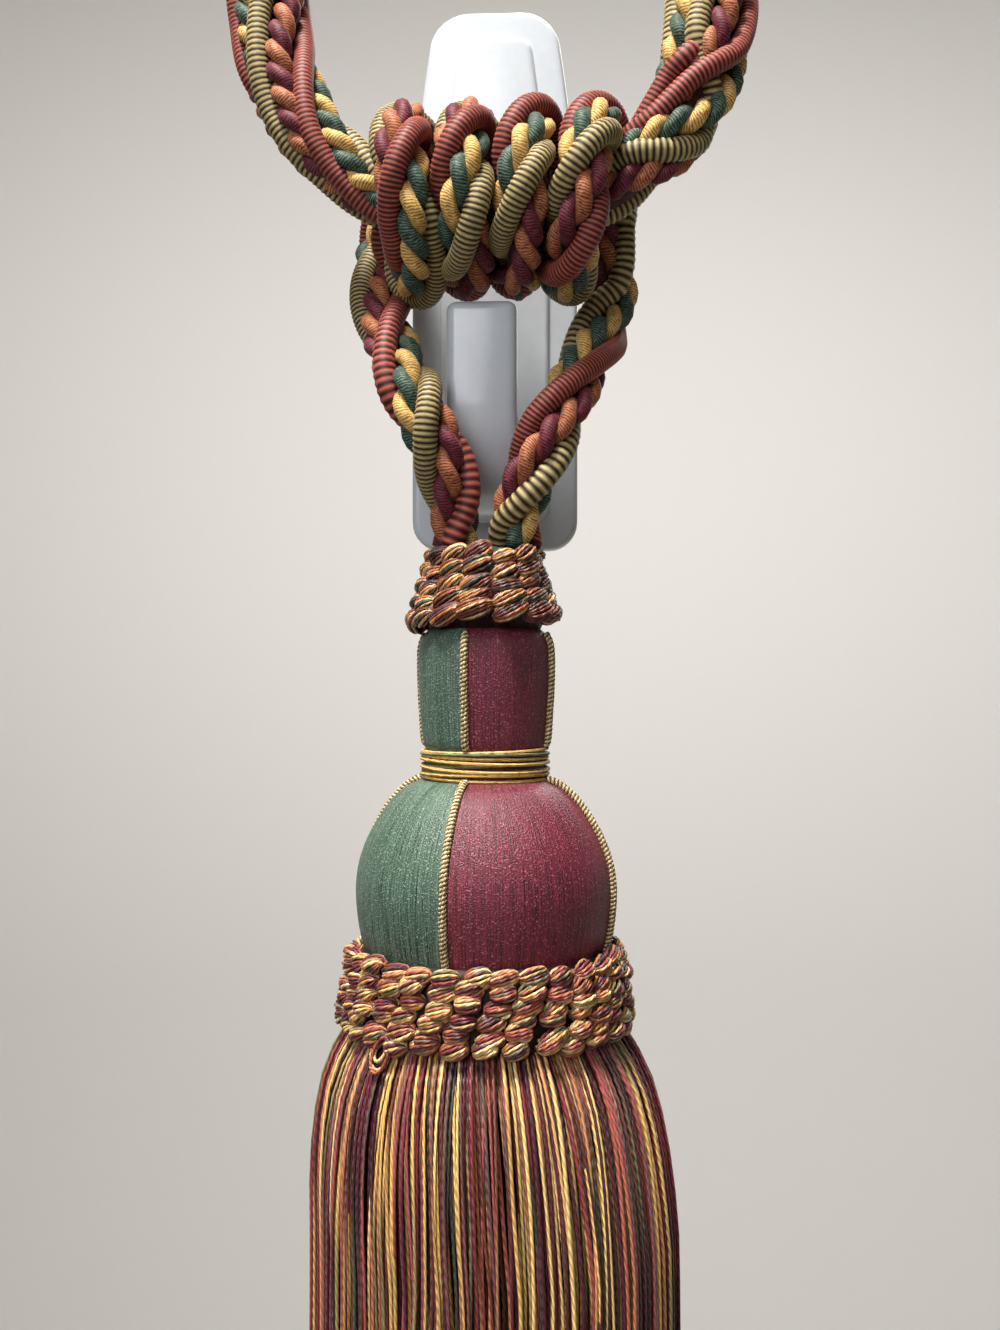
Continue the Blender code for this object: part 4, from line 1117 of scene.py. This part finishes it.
def variegated_finish(name, stops, dye_scale, plies, roughness):
    """Space-dyed rayon yarn.  The eye gets single yarns that each change colour along their length, with a
    slanted twist and a soft shine.  Yarns carry an attribute, dye: where in the run of colours they begin."""
    finish, shader = new_finish(name)
    place = add_node(finish, "ShaderNodeTexCoord")
    uv = add_node(finish, "ShaderNodeUVMap", {"uv_map": "UVMap"})
    dye = add_node(finish, "ShaderNodeAttribute", {"attribute_name": "dye"})
    run = add_node(
        finish, "ShaderNodeTexNoise", {"Scale": dye_scale, "Detail": 1.0}, {"Vector": place.outputs["Object"]}
    )
    where = add_node(
        finish,
        "ShaderNodeMath",
        {"operation": "MULTIPLY_ADD", 1: 0.8},
        {0: run.outputs["Fac"], 2: dye.outputs["Fac"]},
    )
    again = add_node(finish, "ShaderNodeMath", {"operation": "FRACT"}, {0: where.outputs[0]})
    colour = add_node(finish, "ShaderNodeValToRGB", links={"Fac": again.outputs[0]})
    colour_stops(colour, stops)
    lay = add_node(
        finish, "ShaderNodeVectorMath", {"operation": "DOT_PRODUCT", 1: (1, plies, 0)}, {0: uv.outputs["UV"]}
    )
    twist = add_node(finish, "ShaderNodeTexWave", {"Scale": 0.314}, {"Vector": lay.outputs["Value"]})
    lines = add_node(
        finish, "ShaderNodeMapRange", {"To Min": 0.72, "To Max": 1.15}, {"Value": twist.outputs["Fac"]}
    )
    shade = add_node(
        finish,
        "ShaderNodeMix",
        {"data_type": "RGBA", "blend_type": "MULTIPLY", 0: 1.0},
        {6: colour.outputs["Color"], 7: lines.outputs["Result"]},
    )
    relief = add_node(
        finish, "ShaderNodeBump", {"Strength": 0.5, "Distance": 0.0003}, {"Height": twist.outputs["Fac"]}
    )
    finish.node_tree.links.new(shade.outputs[2], shader.inputs["Base Color"])
    finish.node_tree.links.new(relief.outputs["Normal"], shader.inputs["Normal"])
    shader.inputs["Roughness"].default_value = roughness
    shader.inputs["Sheen Weight"].default_value = 0.06
    shader.inputs["Sheen Roughness"].default_value = 0.35
    return finish


upper_ruff_yarn = variegated_finish(
    "space_dyed_brown_yarn",
    (
        (0.00, "#6E3424"),
        (0.10, "#A9623C"),
        (0.17, "#E2C08A"),
        (0.23, "#C0904F"),
        (0.33, "#7C3A2A"),
        (0.45, "#3E181A"),
        (0.55, "#64393A"),
        (0.64, "#C98F62"),
        (0.70, "#D9B684"),
        (0.77, "#74362B"),
        (0.87, "#34493B"),
        (0.93, "#3E352C"),
        (1.00, "#6E3424"),
    ),
    70,
    2,
    0.5,
)
# Yarn packed inside the ruffs, the knots and the fringe, coloured dark brown as painted shade: the eye gets
# only dark brown between the knots
shadow_yarn = yarn_finish("shaded_ruff_core", "#26120F", "#361C16", "#150A08")


def set_dye(piece, value):
    """Marks a yarn with its place in the run of dye colours."""
    dye = piece.data.attributes.new("dye", "FLOAT", "POINT")
    dye.data.foreach_set("value", np.full(len(piece.data.vertices), value, dtype=np.float32))


def knot_yarns(name, turn, height, radius, half_width, half_height, lean, chance, finish):
    """One knot on a turned surface: yarns tied together at both ends that bulge apart between them."""
    front = np.array((sin(turn), -cos(turn), 0))
    side = np.array((cos(turn), sin(turn), 0)) * cos(lean) + np.array((0, 0, 1)) * sin(lean)
    up = np.cross(front, side)
    middle = np.array((TASSEL_X, TASSEL_Y, height)) + front * radius
    place = np.linspace(-KNOT_TIED, 1 + KNOT_TIED, KNOT_RINGS)
    swell = np.sin(pi * place)
    full = np.sin(pi * np.clip(place, 0, 1))
    twist = radians(chance.uniform(*KNOT_TWIST))
    sideways = -half_width * np.cos(pi * place)
    falls_back = sideways**2 / (2 * radius)
    # A bundle in the painted shade colour fills the knot, so that its gaps look dark
    filler = middle + np.outer(0.9 * sideways, side) + np.outer(0.3 * KNOT_BULGE - falls_back, front)
    radii = KNOT_FILLER * (0.15 + 0.85 * full)
    yarns = [cord_tube(f"{name}_filler", filler, radii, KNOT_FILLER_SIDES, place, shadow_yarn)]
    set_dye(yarns[0], 0)
    for number in range(KNOT_YARNS):
        share = (number + chance.uniform(-0.2, 0.2)) / (KNOT_YARNS - 1)
        fan = radians(-KNOT_FAN + 2 * KNOT_FAN * share) + twist * (place - 0.5)
        bulge = np.sign(swell) * np.abs(swell) ** 0.5 * chance.uniform(0.88, 1.12)
        points = (
            middle
            + np.outer(sideways, side)
            + np.outer(KNOT_BULGE * bulge * np.cos(fan) - falls_back, front)
            + np.outer(half_height * bulge * np.sin(fan), up)
        )
        radii = KNOT_YARN_RADIUS * chance.uniform(0.85, 1.15) * (0.75 + 0.25 * full)
        turns = 2 * place * half_width / KNOT_YARN_TWIST
        yarn = cord_tube(f"{name}_{number}", points, radii, KNOT_SIDES, turns, finish)
        set_dye(yarn, chance.random())
        yarns.append(yarn)
    return yarns


chance = Random(11)
# The core under the knots is coloured dark brown as painted shade
upper_core = turn_profile(
    "upper_ruff_core",
    [
        UPPER_CORE_TOP,
        *[(radius - CORE_INSIDE, height) for height, radius, _, _ in UPPER_ROWS],
        *UPPER_CORE_FOOT,
    ],
    UPPER_CORE_SIDES,
    shadow_yarn,
)
pieces = [upper_core]
last_row = len(UPPER_ROWS) - 1
for row, (height, radius, half_width, half_height) in enumerate(UPPER_ROWS):
    for column in range(UPPER_COLUMNS):
        turn = UPPER_FIRST_COLUMN + tau * (column + chance.uniform(-0.08, 0.08)) / UPPER_COLUMNS
        rise = chance.uniform(-0.0006, 0.0004) - UPPER_DROP * max(0, -sin(turn)) * (row / last_row) ** 2
        rise -= UPPER_STAGGER * (column % 2) * (row < last_row)
        lean = radians(chance.uniform(*UPPER_LEAN))
        pieces += knot_yarns(
            f"upper_knot_{row}_{column}",
            turn,
            height + rise,
            radius + chance.uniform(-0.0007, 0.0005),
            half_width * chance.uniform(0.95, 1.1),
            half_height * chance.uniform(0.95, 1.15),
            lean,
            chance,
            upper_ruff_yarn,
        )
upper_ruff = join_pieces("upper_ruff_knots", pieces)
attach(upper_ruff, "root")
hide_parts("upper_ruff")


# ---------------------------------------------------------------------------------------------- Lower ruff
# The same kind of collar, wider, round the foot of the bulb, where it hides the top of the fringe.  Thirty
# columns of smaller, brighter knots, six high; at one place a few yarns have come loose and hang in a loop.

LOWER_COLUMNS = 30
LOWER_ROWS = (  # height, radius of the knots' middle
    (-0.1547, 0.0277),
    (-0.1574, 0.0283),
    (-0.1602, 0.0288),
    (-0.1630, 0.0292),
    (-0.1657, 0.0295),
    (-0.1683, 0.0295),
)
LOWER_HALF_WIDTH = 0.0027
LOWER_HALF_HEIGHT = 0.00175
LOWER_STAGGER = 0.0010  # every other column hangs this much lower
LOWER_ROW_SHIFT = -0.13  # each row starts this share of a knot's width further round than the one above
LOWER_LEAN = (-6, 17)
LOWER_CORE_TOP = ((0.0225, -0.1532), (0.0262, -0.1534))  # radius and height
LOWER_CORE_FOOT = ((0.0284, -0.1697), (0.0240, -0.1702))
CORE_SIDES = 72
LOOSE_LOOP_TURN = radians(-38.5)
LOOSE_LOOP_HEIGHT = -0.1690
LOOSE_LOOP_OUT = 0.0307  # distance from the tassel's axis
LOOSE_LOOP_RINGS = 14
LOOSE_LOOP_YARNS = (  # half-width, half-height and swing to the side in radians
    (0.0019, 0.0026, -0.2),
    (0.0014, 0.0020, 0.15),
    (0.0025, 0.0031, 0.05),
    (0.0022, 0.0035, 0.25),
)
lower_ruff_yarn = variegated_finish(
    "space_dyed_gold_yarn",
    (
        (0.00, "#A8623E"),
        (0.09, "#D6A660"),
        (0.17, "#EFD59A"),
        (0.26, "#B9734C"),
        (0.37, "#93443E"),
        (0.48, "#6A2634"),
        (0.57, "#3A1722"),
        (0.66, "#96504A"),
        (0.74, "#E0B878"),
        (0.81, "#A8925A"),
        (0.87, "#6B6A4C"),
        (0.93, "#5C3A44"),
        (1.00, "#A8623E"),
    ),
    80,
    2,
    0.5,
)
# The core under the knots is coloured dark brown as painted shade
lower_core = turn_profile(
    "lower_ruff_core",
    [*LOWER_CORE_TOP, *[(radius - CORE_INSIDE, height) for height, radius in LOWER_ROWS], *LOWER_CORE_FOOT],
    CORE_SIDES,
    shadow_yarn,
)
pieces = [lower_core]
last_row = len(LOWER_ROWS) - 1
for row, (height, radius) in enumerate(LOWER_ROWS):
    for column in range(LOWER_COLUMNS):
        turn = tau * (column + row * LOWER_ROW_SHIFT + chance.uniform(-0.1, 0.1)) / LOWER_COLUMNS
        rise = chance.uniform(-0.0006, 0.0006) + LOWER_STAGGER * (0.5 - column % 2) * (row < last_row)
        pieces += knot_yarns(
            f"lower_knot_{row}_{column}",
            turn,
            height + rise,
            radius + chance.uniform(-0.0008, 0.0004),
            LOWER_HALF_WIDTH * chance.uniform(0.85, 1.12),
            LOWER_HALF_HEIGHT * chance.uniform(0.85, 1.15),
            radians(chance.uniform(*LOWER_LEAN)),
            chance,
            lower_ruff_yarn,
        )
for number, (wide, deep, swing) in enumerate(LOOSE_LOOP_YARNS):
    turn = LOOSE_LOOP_TURN + number * 0.012
    front = np.array((sin(turn), -cos(turn), 0))
    side = np.array((cos(turn), sin(turn), 0))
    arc = np.linspace(0, tau, LOOSE_LOOP_RINGS)
    points = (
        np.array((TASSEL_X, TASSEL_Y, LOOSE_LOOP_HEIGHT))
        + front * (LOOSE_LOOP_OUT + 0.0005 * number)
        + np.outer(wide * np.sin(arc + swing), side)
        + np.outer(deep * (np.cos(arc) - 0.4), (0, 0, 1))
        - np.outer(0.0010 * np.cos(arc), front)
    )
    radii = np.full(LOOSE_LOOP_RINGS, KNOT_YARN_RADIUS)
    yarn = cord_tube(f"loose_loop_{number}", points, radii, KNOT_SIDES, arc * 3, lower_ruff_yarn)
    set_dye(yarn, 0.1 + 0.6 * number)
    pieces.append(yarn)
lower_ruff = join_pieces("lower_ruff_knots", pieces)
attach(lower_ruff, "root")
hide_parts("lower_ruff")


# ---------------------------------------------------------------------------------------------- Skirt
# The fringe: hundreds of loose two-ply rayon yarns sewn round the foot of the head under the lower ruff, in
# several layers.  They arch out over each other and hang straight, gathering here and there into locks.

# Rows of radius and height of the outer yarns
SKIRT_PROFILE = (
    (0.0242, -0.1660),
    (0.0264, -0.1678),
    (0.0304, -0.1722),
    (0.0345, -0.1805),
    (0.0370, -0.1920),
    (0.0384, -0.2080),
    (0.0388, -0.2360),
    (0.0392, -0.3150),
)
SKIRT_SWAY = 0.0022  # the fringe hangs this far to the right of the head
SKIRT_SWAY_FROM = 0.05  # shares of the length: where the sway begins, and over how much it grows
SKIRT_SWAY_OVER = 0.3
SKIRT_LAYERS = ((460, 1.0), (340, 0.94), (240, 0.87))  # yarns, and share of the outer yarns' radius
SKIRT_RINGS = 18
SKIRT_RINGS_CROWD = 1.45  # the rings of a yarn lie closer where it arches out, by this power
SKIRT_YARN_RADIUS = 0.00039
SKIRT_YARN_SIDES = 4
SKIRT_YARN_TWIST = 0.0024  # one turn of the two plies
SKIRT_CRINKLE = 0.0009  # each yarn waves this far to the side near its end
SKIRT_UNEVEN = 0.0028  # the yarns are cut up to this much longer or shorter
YARNS_IN_LOCK = 9
SAME_DYE = 0.2  # share of yarns that have their neighbour's colours
SKIRT_CORE_SHARE = 0.80
SKIRT_CORE_FOOT = (0.0290, -0.3095)
fringe_yarn = variegated_finish(
    "space_dyed_fringe_yarn",
    (
        (0.00, "#5A1C28"),
        (0.09, "#8E3640"),
        (0.15, "#BA6850"),
        (0.20, "#D29660"),
        (0.25, "#F4D086"),
        (0.32, "#EFC87A"),
        (0.37, "#D0A058"),
        (0.41, "#6E3A2C"),
        (0.47, "#3A161E"),
        (0.56, "#64202E"),
        (0.64, "#A8524E"),
        (0.70, "#5E4044"),
        (0.75, "#75734C"),
        (0.79, "#EABF72"),
        (0.82, "#E2B468"),
        (0.85, "#7C4434"),
        (0.90, "#4C544A"),
        (0.95, "#2A1218"),
        (1.00, "#5A1C28"),
    ),
    9,
    2,
    0.46,
)
skirt_curve = smooth_rows(SKIRT_PROFILE, steps=20)
skirt_length = distances(skirt_curve)


def hang_yarn(name, turn, share, lock, chance, finish, dye):
    """One yarn of the fringe: out over the foot of the head and down, waving a little with its lock."""
    reach = skirt_length[-1] + chance.uniform(-SKIRT_UNEVEN, SKIRT_UNEVEN)
    along = reach * np.linspace(0, 1, SKIRT_RINGS) ** SKIRT_RINGS_CROWD
    radius = np.interp(along, skirt_length, skirt_curve[:, 0]) * share
    height = np.interp(along, skirt_length, skirt_curve[:, 1]) - np.maximum(0, along - skirt_length[-1])
    down = along / skirt_length[-1]
    own_start = chance.random() * tau
    slant = chance.uniform(-0.0022, 0.0022)
    own_bend = chance.uniform(0.008, 0.02)
    side = lock["wave"] * down * np.sin(tau * along / lock["span"] + lock["start"])
    side = side + slant * np.minimum(1, down * 3)
    side = side + SKIRT_CRINKLE * down * np.sin(along / own_bend + own_start)
    radius = radius + (lock["rise"] * np.minimum(1, down * 4) + chance.uniform(-0.0022, 0.0006))
    turns = turn + side / radius
    sway = SKIRT_SWAY * np.clip((down - SKIRT_SWAY_FROM) / SKIRT_SWAY_OVER, 0, 1)
    points = np.column_stack(
        [TASSEL_X + sway + radius * np.sin(turns), TASSEL_Y - radius * np.cos(turns), height]
    )
    radii = np.full(SKIRT_RINGS, SKIRT_YARN_RADIUS * chance.uniform(0.8, 1.2))
    yarn = cord_tube(name, points, radii, SKIRT_YARN_SIDES, along / SKIRT_YARN_TWIST, finish)
    set_dye(yarn, dye)
    return yarn


outer_yarns = []
inner_yarns = []
for layer, (count, share) in enumerate(SKIRT_LAYERS):
    dye = chance.random()
    for number in range(count):
        if number % YARNS_IN_LOCK == 0:
            lock = {
                "wave": chance.uniform(-0.0018, 0.0018),
                "span": chance.uniform(0.09, 0.20),
                "start": chance.random() * tau,
                "rise": chance.uniform(-0.0009, 0.0006),
            }
        if chance.random() > SAME_DYE:
            dye = chance.random()
        turn = tau * (number + chance.uniform(-0.35, 0.35)) / count
        yarn = hang_yarn(f"fringe_{layer}_{number}", turn, share, lock, chance, fringe_yarn, dye)
        (outer_yarns if layer == 0 else inner_yarns).append(yarn)
# Inside the fringe a core coloured dark brown as painted shade closes the gaps between the yarns
core_rows = [(radius * SKIRT_CORE_SHARE, height) for radius, height in skirt_curve[::8].tolist()]
inner_yarns.append(turn_profile("skirt_core", [*core_rows, SKIRT_CORE_FOOT], CORE_SIDES, shadow_yarn))
outer_skirt = join_pieces("fringe_outer_yarns", outer_yarns)
inner_skirt = join_pieces("fringe_inner_yarns", inner_yarns)
for piece in (outer_skirt, inner_skirt):
    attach(piece, "root")
    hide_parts("skirt")


# ---------------------------------------------------------------------------------------------- Studio
# A pale floor well below the tassel that sweeps up into a wall on all sides.  The light is one small soft
# lamp above and in front, a weak soft lamp in front and one behind, and a lamp on the wall at the back.

FLOOR_HEIGHT = -1.1000
FLOOR_RADIUS = 1.5
WALL_HEIGHT = 3.0
FLOOR_SWEEP = 0.6
bpy.ops.mesh.primitive_cylinder_add(
    vertices=96, radius=FLOOR_RADIUS, depth=WALL_HEIGHT, location=(0, 0, FLOOR_HEIGHT + WALL_HEIGHT / 2)
)
floor = bpy.context.active_object
floor.name = "floor"
# Board with matt paint rolled on: the eye gets an even pale ground without gloss
floor_finish, floor_shader = new_finish("pale_painted_board")
floor_shader.inputs["Base Color"].default_value = linear("#E2DFDA")
floor_shader.inputs["Roughness"].default_value = 0.8
bpy.ops.object.mode_set(mode="EDIT")
shape = bmesh.from_edit_mesh(floor.data)
top = [face for face in shape.faces if face.normal.z > 0.9]
bmesh.ops.delete(shape, geom=top, context="FACES_ONLY")
rim = [edge for edge in shape.edges if all(end.co.z < 0 for end in edge.verts)]
bmesh.ops.bevel(shape, geom=rim, offset=FLOOR_SWEEP, segments=12, profile=0.5, affect="EDGES")
bmesh.update_edit_mesh(floor.data)
bpy.ops.mesh.select_all(action="SELECT")
bpy.ops.mesh.flip_normals()
bpy.ops.object.mode_set(mode="OBJECT")
bpy.ops.object.transform_apply()
floor.data.materials.append(floor_finish)
floor.data.shade_smooth()
bpy.ops.object.select_all(action="DESELECT")


def soft_light(name, place, aim, size, power, colour, spread):
    """A square soft lamp at one place, turned towards another; its spread is in degrees."""
    light = bpy.data.lights.new(name, "AREA")
    light.size = size
    light.energy = power
    light.spread = radians(spread)
    light.color = linear(colour)[:3]
    lamp = bpy.data.objects.new(name, light)
    lamp.location = place
    lamp.rotation_euler = (Vector(aim) - Vector(place)).to_track_quat("-Z", "Y").to_euler()
    lamp.visible_camera = False
    bpy.context.collection.objects.link(lamp)


soft_light("key_light", (-0.18, -0.34, 0.98), (0, -0.04, -0.08), 0.28, 2.35, "#FFFAF2", 45)
soft_light("front_fill", (-0.35, -1.1, 0.38), (0, -0.03, -0.08), 0.7, 1.05, "#FAFAFF", 60)
soft_light("back_fill", (0.3, 1.1, 0.6), (0, 0, -0.05), 0.8, 1.2, "#FFFFFF", 60)
soft_light("backdrop_light", (0, 0.35, 0.5), (0, 1.5, -0.25), 0.5, 9, "#FFFFFF", 150)
world = bpy.data.worlds.new("studio")
bpy.context.scene.world = world
world.use_nodes = True
world.node_tree.nodes["Background"].inputs["Color"].default_value = linear("#F4F3F0")
world.node_tree.nodes["Background"].inputs["Strength"].default_value = 0.15
bpy.context.scene.view_settings.view_transform = "Standard"
